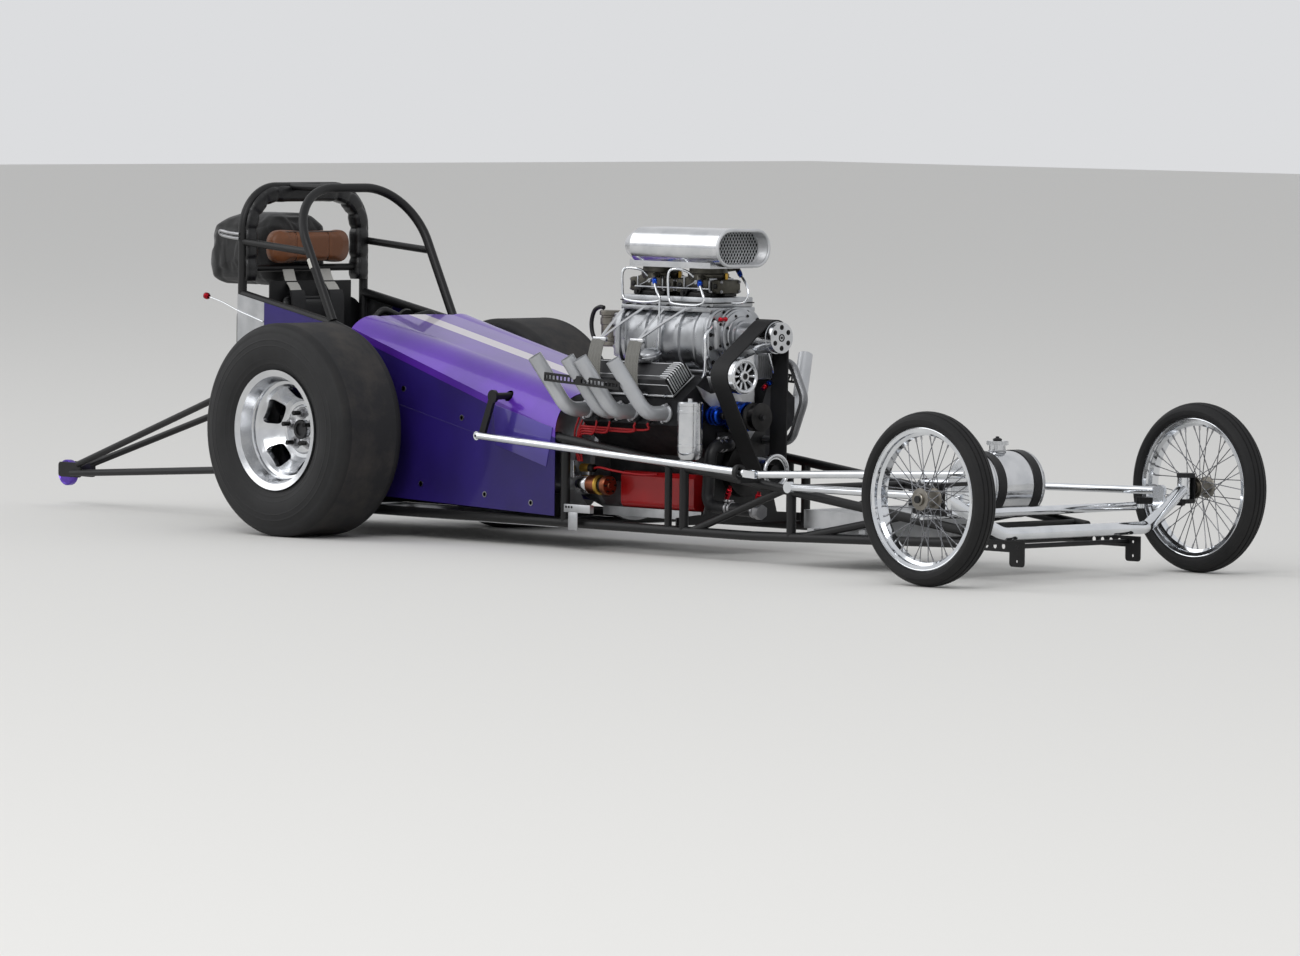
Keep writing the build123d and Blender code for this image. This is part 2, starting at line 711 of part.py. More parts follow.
def engine():
    z = crank_z
    length = block_front_x - block_rear_x
    # Block outline in y and z from the crank: skirt, decks of the two banks and valley.
    turn = math.radians(bank_angle)
    middle = (math.sin(turn) * deck_distance, math.cos(turn) * deck_distance)
    reach = (math.cos(turn) * head_width / 2, math.sin(turn) * head_width / 2)
    deck_out = (middle[0] + reach[0], middle[1] - reach[1])
    deck_in = (middle[0] - reach[0], middle[1] + reach[1])
    half_outline = [(118, -60), (128, 40), deck_out, deck_in, (deck_in[0] - 8, 190)]
    outline = half_outline + [(-y, dz) for y, dz in reversed(half_outline)]
    plane = Plane(origin=(block_rear_x, 0, z), x_dir=(0, 1, 0), z_dir=(1, 0, 0))
    body = extrude(plane * make_face(Polyline(*outline, close=True)), length)
    cover = rod((block_front_x, 0, z), (block_front_x + 38, 0, z), 92)
    snout = rod((block_front_x, 0, z), (pulley_plane_x - belt_width / 2 - 1, 0, z), 22)
    body = body.fuse(cover, snout)
    oil_pan(z - 60 - seat_gap)

    # The heads rise from the decks to an upright port face and a sloping cover face.
    lift = seat_gap / math.sqrt(2)
    port_low, port_high = (head_port_face, head_port_low), (head_port_face, head_port_high)
    head_outline = [
        (-deck_out[0] - lift, deck_out[1] + lift), (-port_low[0], port_low[1]), (-port_high[0], port_high[1]),
        (-head_inner[0], head_inner[1]), (-deck_in[0] - lift, deck_in[1] + lift),
    ]
    head_plane = Plane(origin=(block_rear_x + 8, 0, z), x_dir=(0, 1, 0), z_dir=(1, 0, 0))
    head_length = length - 16
    head = extrude(head_plane * make_face(Polyline(*head_outline, close=True)), head_length)
    save("engine_block", body, *both_sides([head]))
    low, high = Vector(0, -port_high[0], z + port_high[1]), Vector(0, -head_inner[0], z + head_inner[1])
    across = (high - low).normalized()
    cover_normal = Vector(0, -across.Z, across.Y)
    seat_point = (low + high) / 2 + cover_normal * seat_gap
    cover_plane = Plane(origin=(block_rear_x + 8, seat_point.Y, seat_point.Z), x_dir=(1, 0, 0), z_dir=cover_normal)
    cover_length = cover_front_x - block_rear_x - 20
    lid = cover_plane * Pos(cover_length / 2 + 6, 0, cover_height / 2) * Box(cover_length, cover_width, cover_height)
    lid = fillet(lid.edges().filter_by(Axis.X).group_by(Axis.Z)[-1], 22)
    save("valve_covers", *both_sides([lid]))

    ports = [port_front_x]
    for gap in (port_gap_wide, port_gap_narrow, port_gap_wide):
        ports.append(ports[-1] - gap)
    pipes = []
    face_y = head_port_face + seat_gap
    for x in ports:
        points = [(x, -face_y, port_z), (x, -355, port_z), (x - header_sweep, -header_tip_y, header_tip_z)]
        pipe = bent_tube(points, header_radius, 62)
        tip = Vector(*points[2])
        direction = (tip - Vector(*points[1])).normalized()
        mouth = Plane(origin=tip - direction * 60, z_dir=direction) * Circle(header_radius - header_wall)
        pipe -= extrude(mouth, 80)
        pipes.append(pipe)
    save("headers", *both_sides(pipes))

    manifold = block((magneto_base_x + 35, -96, z + 190 + seat_gap), (block_front_x - 20, 96, blower_bottom_z - seat_gap))

    # Blower: a ribbed case, bolted end covers and the drive snout.
    centre_z = (blower_bottom_z + blower_top_z) / 2
    height = blower_top_z - blower_bottom_z
    case_plane = Plane(origin=(blower_rear_x, 0, centre_z), x_dir=(0, 1, 0), z_dir=(1, 0, 0))
    case_face = case_plane * RectangleRounded(2 * blower_half_width, height, 62)
    case = extrude(case_face, blower_front_x - blower_rear_x)
    rib_face = case_plane * RectangleRounded(2 * blower_half_width + 16, height - 40, 70)
    rib = extrude(rib_face, 12)
    ribs = [Pos(20 + 52 * number, 0, 0) * rib for number in range(8)]
    front_plate = extrude(case_plane.offset(blower_front_x - blower_rear_x) * RectangleRounded(2 * blower_half_width + 20, height, 66), 34)
    nose = rod((blower_front_x + 30, 0, centre_z + 18), (blower_front_x + 82, 0, centre_z + 18), 92)
    snout = rod((blower_front_x + 80, 0, top_pulley[1]), (pulley_plane_x - belt_width / 2 - 1, 0, top_pulley[1]), 42)
    save("supercharger", case.fuse(*ribs, front_plate, nose, snout), manifold)

    adapter = block((1150, -95, blower_top_z + seat_gap), (1600, 95, carb_bottom_z))
    carbs = [adapter]
    for x in carb_places:
        body = block((x - 78, -62, carb_bottom_z), (x + 78, 62, carb_bottom_z + 70))
        bowl_rear = block((x - 108, -52, carb_bottom_z + 8), (x - 76, 52, carb_bottom_z + 60))
        bowl_front = block((x + 76, -52, carb_bottom_z + 8), (x + 108, 52, carb_bottom_z + 60))
        neck = rod((x, 0, carb_bottom_z + 68), (x, 0, scoop_bottom_z - seat_gap), carb_throat)
        carbs += [body, bowl_rear, bowl_front, neck]
    save("carburettors", carbs[0].fuse(*carbs[1:]))
    save("air_scoop", air_scoop())
    blower_drive()
    engine_fittings()


def oil_pan(floor_z):
    """Wide pan that wraps the block's skirt."""
    wide = pan_half_width
    pan = block((pan_rear_x, -wide, pan_bottom_z), (pan_front_x, wide, floor_z))
    pan = fillet(pan.edges().filter_by(Axis.X).group_by(Axis.Z)[0], 22)
    wing = block((pan_rear_x, -wide, floor_z - 1), (pan_front_x, -130, pan_top_z))
    wing = chamfer(wing.edges().filter_by(Axis.X).group_by(Axis.Z)[-1].sort_by(Axis.Y)[0], 14)
    save("oil_pan", pan.fuse(wing, other_side(wing)))


def air_scoop():
    """Hollow scoop: a wide stadium tube with a rounded tail, a rolled mouth and a flat foot."""
    middle_z = scoop_bottom_z + 6 + scoop_height / 2
    plane = Plane(origin=(scoop_rear_x + 60, 0, middle_z), x_dir=(0, 1, 0), z_dir=(1, 0, 0))
    length = scoop_mouth_x - scoop_rear_x - 60
    outer = extrude(plane * RectangleRounded(scoop_width, scoop_height, scoop_height / 2 - 1), length)
    tail_plane = Plane(origin=(scoop_rear_x, 0, middle_z), x_dir=(0, 1, 0), z_dir=(1, 0, 0))
    tail = loft([
        tail_plane * RectangleRounded(scoop_width - 70, scoop_height - 50, (scoop_height - 50) / 2 - 1),
        plane * RectangleRounded(scoop_width, scoop_height, scoop_height / 2 - 1),
    ])
    foot = block((scoop_foot[0], -100, scoop_bottom_z), (scoop_foot[1], 100, scoop_bottom_z + scoop_foot_height))
    inside = extrude(
        plane * RectangleRounded(scoop_width - 2 * scoop_wall, scoop_height - 2 * scoop_wall, scoop_height / 2 - 1 - scoop_wall),
        length + 10,
    )
    shell = outer.fuse(tail, foot) - inside
    for x in carb_places:
        shell -= rod((x, 0, scoop_bottom_z - 5), (x, 0, middle_z), carb_throat - 9)
    return shell


def belt_line(pulleys, extra):
    """Closed outline of a belt round pulleys given as y, z and radius, in turn round the loop."""
    edges = []
    points = []
    count = len(pulleys)
    for number in range(count):
        y0, z0, r0 = pulleys[number]
        y1, z1, r1 = pulleys[(number + 1) % count]
        r0, r1 = r0 + extra, r1 + extra
        gap = math.hypot(y1 - y0, z1 - z0)
        heading = math.atan2(z1 - z0, y1 - y0)
        turn = heading - math.acos((r0 - r1) / gap)
        side = (math.cos(turn), math.sin(turn))
        points.append(((y0 + r0 * side[0], z0 + r0 * side[1]), (y1 + r1 * side[0], z1 + r1 * side[1])))
    for number in range(count):
        leave, arrive = points[number]
        edges.append(Line(leave, arrive))
        y1, z1, r1 = pulleys[(number + 1) % count]
        following = points[(number + 1) % count][0]
        mid = Vector(arrive[0] + following[0] - 2 * y1, arrive[1] + following[1] - 2 * z1).normalized() * (r1 + extra)
        edges.append(ThreePointArc(arrive, (y1 + mid.X, z1 + mid.Y), following))
    return make_face(edges)


def blower_drive():
    x0 = pulley_plane_x - belt_width / 2
    plane = Plane(origin=(x0, 0, 0), x_dir=(0, 1, 0), z_dir=(1, 0, 0))
    pulleys = [top_pulley, idler_pulley, crank_pulley]
    outside = belt_line(pulleys, belt_thickness)
    inside = belt_line(pulleys, seat_gap)
    belt = extrude(plane * (outside - inside), belt_width)
    save("drive_belt", belt)
    wheels = []
    front_x = x0 + belt_width
    # Each pulley's front disc: x of its face, radius, radius of the recess in it, depth of the recess.
    discs = [
        (top_disc_x, top_pulley[2] - 2, 0, 0),
        (idler_disc_x, idler_disc_radius, idler_disc_radius - 15, 16),
        (front_x + belt_drive_play, crank_pulley[2], crank_pulley[2] - 7, 26),
    ]
    for (y, z, radius), (face_x, disc_radius, recess, depth) in zip(pulleys, discs):
        wheel = rod((x0 - 1, y, z), (front_x + 1, y, z), radius)
        wheel += rod((front_x + 0.5, y, z), (face_x, y, z), disc_radius)
        if recess:
            wheel -= rod((face_x - depth, y, z), (face_x + 1, y, z), recess)
            wheel += rod((face_x - depth - 1, y, z), (face_x - 3, y, z), 20)
        wheels.append(wheel)
    y, z, radius = idler_pulley
    arm = rod((x0 - 18, y, z), (x0 - 1, y, z), 26)
    arm += Pos(x0 - 9.5, y / 2, z + 26) * Rot(math.degrees(math.atan2(52, -y)), 0, 0) * Box(17, -y, 44)
    arm += rod((blower_front_x + 82 + seat_gap, -25, z + 46), (x0 - 1, -25, z + 46), 16)
    wheels[1] = wheels[1].fuse(arm)
    save("blower_pulleys", *wheels)


def engine_fittings():
    """Alternator, starter, magneto, coolant canister and the large hoses, each seated on its neighbour."""
    z = crank_z
    y = alternator_y
    alternator = rod((block_front_x + seat_gap, y, alternator_z), (pulley_plane_x, y, alternator_z), alternator_radius)
    alternator += rod((pulley_plane_x - 2, y, alternator_z), (1800, y, alternator_z), alternator_radius - 2)
    foot = rail_z(canister_x - canister_radius) + rail_radius + seat_gap
    canister = rod((canister_x, -rail_y, foot), (canister_x, -rail_y, canister_top_z), canister_radius)
    # The starter lies along the bell housing's flange, low on the right.
    reach = bell_radius + starter_radius + seat_gap
    y = -math.sqrt(reach ** 2 - (z - starter_z) ** 2)
    starter = rod((starter_rear_x, y, starter_z), (starter_front_x, y, starter_z), starter_radius)
    solenoid_z = starter_z + starter_radius + solenoid_radius + 6
    starter += rod((starter_rear_x + 50, y, solenoid_z), (starter_rear_x + 112, y, solenoid_z), solenoid_radius)
    starter += block((starter_rear_x + 60, y - 8, starter_z), (starter_rear_x + 90, y + 8, solenoid_z))
    valley = z + 190 + seat_gap
    magneto = rod((magneto_base_x, 0, valley), (magneto_base_x, 0, valley + 20), 30)
    magneto += rod((magneto_base_x, 0, valley + 18), (magneto_x, 0, magneto_low_z + 15), 19)
    magneto += rod((magneto_x, 0, magneto_low_z), (magneto_x, 0, magneto_high_z), 44)
    save("engine_accessories", alternator, canister, starter, magneto)
    plate_x = block_front_x + 6 + 2 * seat_gap
    cover_x = blower_front_x + 34 + seat_gap
    bend_x = pulley_plane_x + 5
    hose = bent_tube([
        (cover_x, hose_y, blower_bottom_z + 44), (bend_x, hose_y, blower_bottom_z + 44),
        (bend_x + 63, hose_y, blower_bottom_z - 76), (bend_x, hose_y, crank_z + 95), (plate_x, hose_y, crank_z + 95),
    ], hose_radius, 55)
    # The water hose leaves the engine plate, drops ahead of the pan and runs forward inside the lower rail.
    y = water_hose_y
    water_hose = bent_tube([
        (plate_x, -85, crank_z + 85), (plate_x + 54, -85, crank_z + 85), (plate_x + 54, y + 8, crank_z + 85),
        (plate_x + 44, y, crank_z - 116), (plate_x + 294, y, crank_z - 124),
    ], water_hose_radius, 42)
    save("hoses", hose, water_hose)


def tank():
    body = rod((tank_x, -tank_half_length, tank_z), (tank_x, tank_half_length, tank_z), tank_radius)
    body = fillet(body.edges().filter_by(GeomType.CIRCLE), 14)
    neck = rod((tank_x, 0, tank_z + tank_radius - 6), (tank_x, 0, tank_z + tank_radius + 22), 27)
    cap = rod((tank_x, 0, tank_z + tank_radius + 20), (tank_x, 0, tank_z + tank_radius + 34), 34)
    body = body.fuse(neck, cap)
    cradle_z = rail_z(tank_x - 70) + rail_radius + seat_gap
    straps = []
    for side in (-1, 1):
        y = side * strap_y
        wide = strap_width / 2
        strap = rod((tank_x, y - wide, tank_z), (tank_x, y + wide, tank_z), tank_radius + 3)
        leg = block((tank_x - 60, y - wide, cradle_z + 6), (tank_x + 60, y + wide, tank_z - 40))
        straps.append(strap.fuse(leg))
    shelf = block((tank_x - 70, -rail_y, cradle_z + 0.2), (tank_x + 70, rail_y, cradle_z + 6))
    room = rod((tank_x, -tank_half_length - 4, tank_z), (tank_x, tank_half_length + 4, tank_z), tank_radius + 0.1)
    save("front_tank", body)
    stand = straps[0].fuse(straps[1], shelf) - room
    box_front_x = tank_x - tank_radius - box_gap
    box = block((box_rear_x, 40 - rail_y, lower_z(box_rear_x) + rail_radius + 14), (box_front_x, rail_y - 40, box_top_z))
    inner = rail_y - rail_radius - seat_gap
    tray_legs = []
    for x in (box_rear_x + 40, box_front_x - 80):
        tray_legs.append(block((x, -inner, lower_z(x) - 8), (x + 30, inner, lower_z(x) + rail_radius + 15)))
    save("battery_box", box.fuse(*tray_legs))
    return [stand]


def front_axle():
    z = front_tyre_radius
    y = kingpin_reach
    beam = bent_tube([
        (wheelbase, -y, z), (wheelbase + axle_sweep, -axle_flat_reach, z - axle_drop),
        (wheelbase + axle_sweep, axle_flat_reach, z - axle_drop), (wheelbase, y, z),
    ], axle_tube_radius, axle_bend_radius)
    half = kingpin_boss_height / 2
    pieces = []
    for side in (-1, 1):
        pieces.append(rod((wheelbase, side * y, z - half), (wheelbase, side * y, z + half), kingpin_boss_radius))
    beam = beam.fuse(*pieces)
    # Trim what stands outside the boss, and bore it for the kingpin.
    for side in (-1, 1):
        shell = rod((wheelbase, side * y, z - half - 20), (wheelbase, side * y, z + half + 20), 60)
        shell -= rod((wheelbase, side * y, z - half - 20), (wheelbase, side * y, z + half + 20), kingpin_boss_radius)
        outboard = block((wheelbase - 70, y - 2, z - 80), (wheelbase + 70, y + 70, z + 80))
        outboard = outboard if side > 0 else other_side(outboard)
        beam -= shell & outboard
        beam -= rod((wheelbase, side * y, 0), (wheelbase, side * y, 600), kingpin_radius + running_gap)
    # Lugs for the radius rods.
    lug_y = -(kingpin_reach - drag_arm_in) + 9 + seat_gap
    lug = block((wheelbase - 20, lug_y, z - 70), (wheelbase + 26, lug_y + 10, z + 6))
    beam = beam.fuse(lug, other_side(lug))
    return beam


def radius_rods():
    """Rods from lugs on the upper rails to the axle."""
    z = front_tyre_radius
    rear = (2208.0, -(body_half_width + 22), rail_z(2208) + 18)
    front = (wheelbase - 4, -(kingpin_reach - drag_arm_in), z - 5)
    unit = (Vector(*front) - Vector(*rear)).normalized()
    bar = rod(tuple(Vector(*rear) + unit * 26), tuple(Vector(*front) - unit * 26), 13)
    neck = rod(rear, front, 6.5)
    rear_eye = rod((rear[0], rear[1] - 9, rear[2]), (rear[0], rear[1] + 9, rear[2]), 19)
    front_eye = rod((front[0], front[1] - 9, front[2]), (front[0], front[1] + 9, front[2]), 19)
    peg = rod((rear[0], rear[1] + 9, rear[2]), (rear[0], -rail_y, rear[2]), 8)
    piece = bar.fuse(neck, rear_eye, front_eye, peg)
    _, upper = rails()
    return piece - upper


def front_brackets():
    """Perforated arms under the axle with hanging plates, drilled to carry something in front."""
    y = bracket_y
    tip_x = wheelbase + bracket_reach
    arm_z = lower_rail_nose_z - 2
    arm = block((rail_nose_x + seat_gap, -y - 2, arm_z - 18), (tip_x, -y + 2, arm_z + 18))
    for number in range(4):
        x = rail_nose_x + 45 + 38 * number
        arm -= rod((x, -y - 5, arm_z), (x, -y + 5, arm_z), 9)
    leg = block((tip_x - bracket_width, -y - 2, bracket_bottom_z), (tip_x, -y + 2, arm_z - 16))
    leg = fillet(leg.edges().filter_by(Axis.Y).group_by(Axis.Z)[0], 12)
    piece = arm + leg
    hole_x = tip_x - bracket_width / 2
    for z in bracket_hole_z:
        piece -= rod((hole_x, -y - 5, z), (hole_x, -y + 5, z), bracket_hole_radius)
    left = other_side(piece)
    bar_x = tip_x - bracket_width + 8
    bar = rod((bar_x, -y + 2, arm_z), (bar_x, y - 2, arm_z), 8)
    return piece.fuse(bar, left)


def knuckle(with_drag_arm):
    """Right-hand stub axle: yoke, kingpin, spindle and steering arms."""
    x, y, z = wheelbase, -kingpin_reach, front_tyre_radius
    half = kingpin_boss_height / 2
    top = half + knuckle_ear + seat_gap
    yoke = block((x - knuckle_width / 2, y - 34, z - top), (x + knuckle_width / 2, y + 14, z + top))
    yoke = fillet(yoke.edges().filter_by(Axis.Z), 12)
    yoke -= block((x - 60, y - 24, z - half - seat_gap), (x + 60, y + 40, z + half + seat_gap))
    pin = rod((x, y, z - top), (x, y, z + top), kingpin_radius)
    hub_start = front_track / 2 - front_hub_inner_reach
    shoulder = rod((x, y - 30, z), (x, -hub_start + seat_gap, z), spindle_radius + 8)
    spindle = rod((x, y - 30, z), (x, -front_track / 2 - front_hub_outer_reach - 4, z), spindle_radius)
    # Tie rod arm from the lower ear, with its stud.
    arm_z = z - steering_arm_drop
    end = (x - steering_arm_back, y + steering_arm_in)
    low = z - top
    arm = hull_bar((x, y), end, arm_z, low + 14, 12)
    stud = rod((end[0], end[1], arm_z + 1), (end[0], end[1], arm_z - rod_eye_width - 6), stud_pin_radius)
    pieces = [pin, shoulder, spindle, arm, stud]
    if with_drag_arm:
        high = z + top
        ball = (x, y + drag_arm_in)
        lever = block((x - 12, y, high - 12), (x + 12, y + drag_arm_in, high))
        lever += rod((ball[0], ball[1], high - 12), (ball[0], ball[1], high), 12)
        pin_top = z + drag_arm_rise + rod_eye_width / 2 + 8
        pieces += [lever, rod((ball[0], ball[1], high - 1), (ball[0], ball[1], pin_top), stud_pin_radius)]
    return yoke.fuse(*pieces)


def hull_bar(start, end, low, high, width):
    """A flat arm between two points, round at its end."""
    first, last = Vector(*start), Vector(*end)
    along = last - first
    angle = math.degrees(math.atan2(along.Y, along.X))
    length = along.length
    body = Pos(first.X, first.Y, (low + high) / 2) * Rot(0, 0, angle) * Pos(length / 2, 0, 0) * Box(length, width * 1.6, high - low)
    tip = rod((last.X, last.Y, low), (last.X, last.Y, high), width)
    return body.fuse(tip)


def steering():
    save("knuckle_right", knuckle(True))
    save("knuckle_left", other_side(knuckle(False)))
    z = front_tyre_radius
    # Tie rod under the arms, its left eye bored wide because the linkage is open there.
    x = wheelbase - steering_arm_back
    y = kingpin_reach - steering_arm_in
    rod_z = z - steering_arm_drop - 1 - rod_eye_width / 2
    tie = rod((x, -y + 26, rod_z), (x, y - 26, rod_z), tie_rod_radius)
    tie += rod((x, -y + 8, rod_z), (x, y - 12, rod_z), rod_eye_width / 2 - 1)
    eyes = [rod((x, side * y, rod_z - rod_eye_width / 2), (x, side * y, rod_z + rod_eye_width / 2), rod_eye_radius)
            for side in (-1, 1)]
    tie = tie.fuse(*eyes)
    gap = stud_pin_radius + running_gap
    tie -= rod((x, -y, rod_z - 40), (x, -y, rod_z + 40), gap)
    tie -= rod((x, y, rod_z - 40), (x, y, rod_z + 40), stud_pin_radius + drift_gap)
    save("tie_rod", tie)

    # Pitman arm outside the body side.
    arm_out = link_plane - rod_eye_width / 2 - 6
    foot = (pitman_x - pitman_back, pitman_z - pitman_drop)
    plane = Plane.XZ.offset(arm_out - pitman_arm_thickness)
    along = Vector(foot[0] - pitman_x, foot[1] - pitman_z)
    angle = math.degrees(math.atan2(along.Y, along.X))
    bar = Pos(pitman_x, pitman_z) * Rot(0, 0, angle) * Pos(along.length / 2, 0) * Rectangle(along.length, 26)
    outline = bar + Pos(pitman_x, pitman_z) * Circle(22) + Pos(*foot) * Circle(15)
    arm = extrude(plane * outline, pitman_arm_thickness)
    shaft = rod((pitman_x, -arm_out, pitman_z), (pitman_x, -205, pitman_z), pitman_shaft_radius)
    stud = rod((foot[0], -arm_out + 1, foot[1]), (foot[0], -link_plane - 12, foot[1]), stud_pin_radius)
    save("pitman_arm", arm.fuse(shaft, stud))

    # Rear half of the drag link, and the front half from its fork to the steering arm.
    start = (foot[0], -link_plane, foot[1])
    joint = (link_joint_x, -link_plane, link_joint_z)
    span = Vector(*joint) - Vector(*start)
    unit = span.normalized()
    bar = rod(start, tuple(Vector(*joint) - unit * 26), drag_link_radius)
    eye = rod((start[0], start[1] - 7, start[2]), (start[0], start[1] + 7, start[2]), rod_eye_radius)
    fork = Plane(origin=Vector(*joint) - unit * 14, z_dir=unit, x_dir=(0, 1, 0)) * Box(40, 24, 56)
    slot = Plane(origin=Vector(*joint) + unit * 8, z_dir=unit, x_dir=(0, 1, 0)) * Box(rod_eye_width + 2, 60, 52)
    pin = rod((joint[0], joint[1] - 20, joint[2]), (joint[0], joint[1] + 20, joint[2]), stud_pin_radius)
    rear = bar.fuse(eye, fork) - slot
    rear -= rod((start[0], start[1] - 20, start[2]), (start[0], start[1] + 20, start[2]), gap)
    save("drag_link_rear", rear.fuse(pin))
    end = (wheelbase, -(kingpin_reach - drag_arm_in), z + drag_arm_rise)
    span = Vector(*end) - Vector(*joint)
    unit = span.normalized()
    bar = rod(tuple(Vector(*joint) + unit * 24), tuple(Vector(*end) - unit * 12), drag_link_radius)
    neck = rod(joint, tuple(Vector(*joint) + unit * 30), 6.5)
    eye = rod((joint[0], joint[1] - 7, joint[2]), (joint[0], joint[1] + 7, joint[2]), 12)
    far_eye = rod((end[0], end[1], end[2] - 7), (end[0], end[1], end[2] + 7), rod_eye_radius + 2)
    front = bar.fuse(neck, eye, far_eye)
    front -= rod((joint[0], joint[1] - 20, joint[2]), (joint[0], joint[1] + 20, joint[2]), gap)
    front -= rod((end[0], end[1], end[2] - 40), (end[0], end[1], end[2] + 40), stud_pin_radius + drift_gap)
    save("drag_link_front", front)

    # Steering box with bores for the column and the cross shaft.
    box = block((735, -245, 470), (850, -175, 538))
    box = fillet(box.edges(), 8)
    foot_block = block((760, -rail_y + 2, 448), (840, -200, 476))
    box = box.fuse(foot_block)
    _, upper = rails()
    box -= upper
    box -= rod((pitman_x, -300, pitman_z), (pitman_x, -204, pitman_z), pitman_shaft_radius + running_gap)
    direction = (Vector(*column_top) - Vector(*column_foot)).normalized()
    box -= rod(tuple(Vector(*column_foot) - direction * 1), tuple(Vector(*column_foot) + direction * 120), column_radius + running_gap)
    save("steering_box", box)

    # Butterfly steering wheel on its column.
    column = rod(column_foot, column_top, column_radius)
    plane = Plane(origin=column_top, z_dir=direction, x_dir=(0, 1, 0))
    hub = extrude(plane * Circle(32), 14)
    grips = []
    for side in (-1, 1):
        points = [(side * 20, 0, 7), (side * wheel_half_width * 0.72, -26, 7), (side * wheel_half_width, 30, 7), (side * wheel_half_width * 0.8, 78, 7)]
        world = [tuple(plane.from_local_coords(Vector(*point))) for point in points]
        grips.append(bent_tube(world, wheel_grip_radius, 24))
    save("steering_wheel", column.fuse(hub, *grips))


def link_guide():
    """Ring on the frame through which the drag link passes."""
    foot = (pitman_x - pitman_back, pitman_z - pitman_drop)
    share = (link_guide_x - foot[0]) / (link_joint_x - foot[0])
    z = foot[1] + share * (link_joint_z - foot[1])
    guide = rod((link_guide_x - 8, -link_plane, z), (link_guide_x + 8, -link_plane, z), drag_link_radius + moving_gap + 7)
    post = block((link_guide_x - 8, -link_plane, z - 36), (link_guide_x + 8, -rail_y, z - 20))
    guide = guide.fuse(post)
    guide -= rod((link_guide_x - 30, -link_plane, z), (link_guide_x + 30, -link_plane, z), drag_link_radius + moving_gap)
    _, upper = rails()
    return guide - upper


def seat_and_soft_parts():
    x = shoulder_x + padding_radius
    back = block((x + 2, -190, 230), (x + 8, 190, 860))
    base = block((x + 2, -190, 224), (x + 330, 190, 230))
    wing = block((x + 2, -190, 224), (x + 200, -184, 640))
    feet = [block((x + 40, side * 150 - 10, lower_rail_z - rail_radius), (x + 180, side * 150 + 10, 226)) for side in (-1, 1)]
    seat = back.fuse(base, wing, other_side(wing), *feet)
    save("seat", seat)
    cushion = block((x + 8 + seat_gap, -150, 230 + seat_gap), (x + 300, 150, 262))
    pad = block((x + 8 + seat_gap, -150, 262 + seat_gap), (x + 34, 150, 820))
    save("seat_padding", cushion, pad)
    rest_low = shoulder_bar_z + brace_radius + seat_gap
    rest_back = shoulder_x - 14
    headrest = block((rest_back, -headrest_half_width, rest_low), (rest_back + 72, headrest_half_width, 1045))
    headrest = fillet(headrest.edges(), 20)
    save("headrest", headrest)
    pack = block((-973, -150, 842), (rest_back - seat_gap, 150, 1100))
    pack = fillet(pack.edges(), 30)
    save("parachute_pack", pack)
    belts = [block((x + 34 + seat_gap, y - 25, 560), (x + 39, y + 25, 818)) for y in (-90, 90)]
    save("harness", *belts)


def wheelie_tubes():
    """Ends of the two right-hand tubes of the wheelie bar: the wheel's end first."""
    z = wheelie_z
    near, far = 33, 125
    return [
        ((wheelie_x + 95, -near, z + 34), (shoulder_x, -far, 545)),
        ((wheelie_x + 55, -near, z), (rail_tail_x + 14, -far, 190)),
    ]


def wheelie_bar():
    """Two long triangles of tube that carry one small wheel behind the car."""
    z = wheelie_z
    near, far = 33, 125
    upper, lower = [rod(start, end, wheelie_tube_radius) for start, end in wheelie_tubes()]
    tube = upper.fuse(lower)
    cross_top = rod((shoulder_x - 0, -rail_y, 545), (shoulder_x, rail_y, 545), 14)
    cross_low = rod((rail_tail_x + 14, -far - 20, 190), (rail_tail_x + 14, far + 20, 190), 14)
    back = rear_hoop()
    cross_top -= back
    yoke = block((wheelie_x - 14, -near - 4, z - 14), (wheelie_x + 110, -near + 4, z + 40))
    yoke = fillet(yoke.edges().filter_by(Axis.Y), 12)
    pin = rod((wheelie_x, -near, z), (wheelie_x, near, z), 6)
    links = [rod((rail_tail_x + 14, side * far, 190), (rail_tail_x + 14, side * far, lower_rail_z), 10) for side in (-1, 1)]
    cross = rod((rail_tail_x + 14, -rail_y, lower_rail_z), (rail_tail_x + 14, rail_y, lower_rail_z), brace_radius)
    links = [link - cross for link in links]
    return tube.fuse(other_side(tube), cross_top, cross_low, yoke, other_side(yoke), pin, *links)


def wheelie_wheel():
    half = wheelie_width / 2
    outline = ring([
        (6 + running_gap, -half - 8), (12, -half - 8), (12, -half + 4), (wheelie_radius - 8, -half + 4),
        (wheelie_radius - 4, -half), (wheelie_radius, -half + 4), (wheelie_radius, half - 4),
        (wheelie_radius - 4, half), (wheelie_radius - 8, half - 4), (12, half - 4), (12, half + 8),
        (6 + running_gap, half + 8),
    ])
    return Pos(wheelie_x, 0, wheelie_z) * outline


os.makedirs("parts", exist_ok=True)
build_wheels()
save("axle_housing", axle_housing())
bulkhead = panels()
cage_and_frame(bulkhead, *engine_mounts(), link_guide(), *tank())
save("hoop_padding", hoop_padding())
save("gearbox", gearbox())
engine()
save("front_axle", front_axle(), *both_sides([radius_rods()]))
save("front_brackets", front_brackets())
steering()
seat_and_soft_parts()
save("wheelie_bar", wheelie_bar())
save("wheelie_wheel", wheelie_wheel())
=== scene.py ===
import bpy
import bmesh
import math
import random
from mathutils import Matrix, Vector


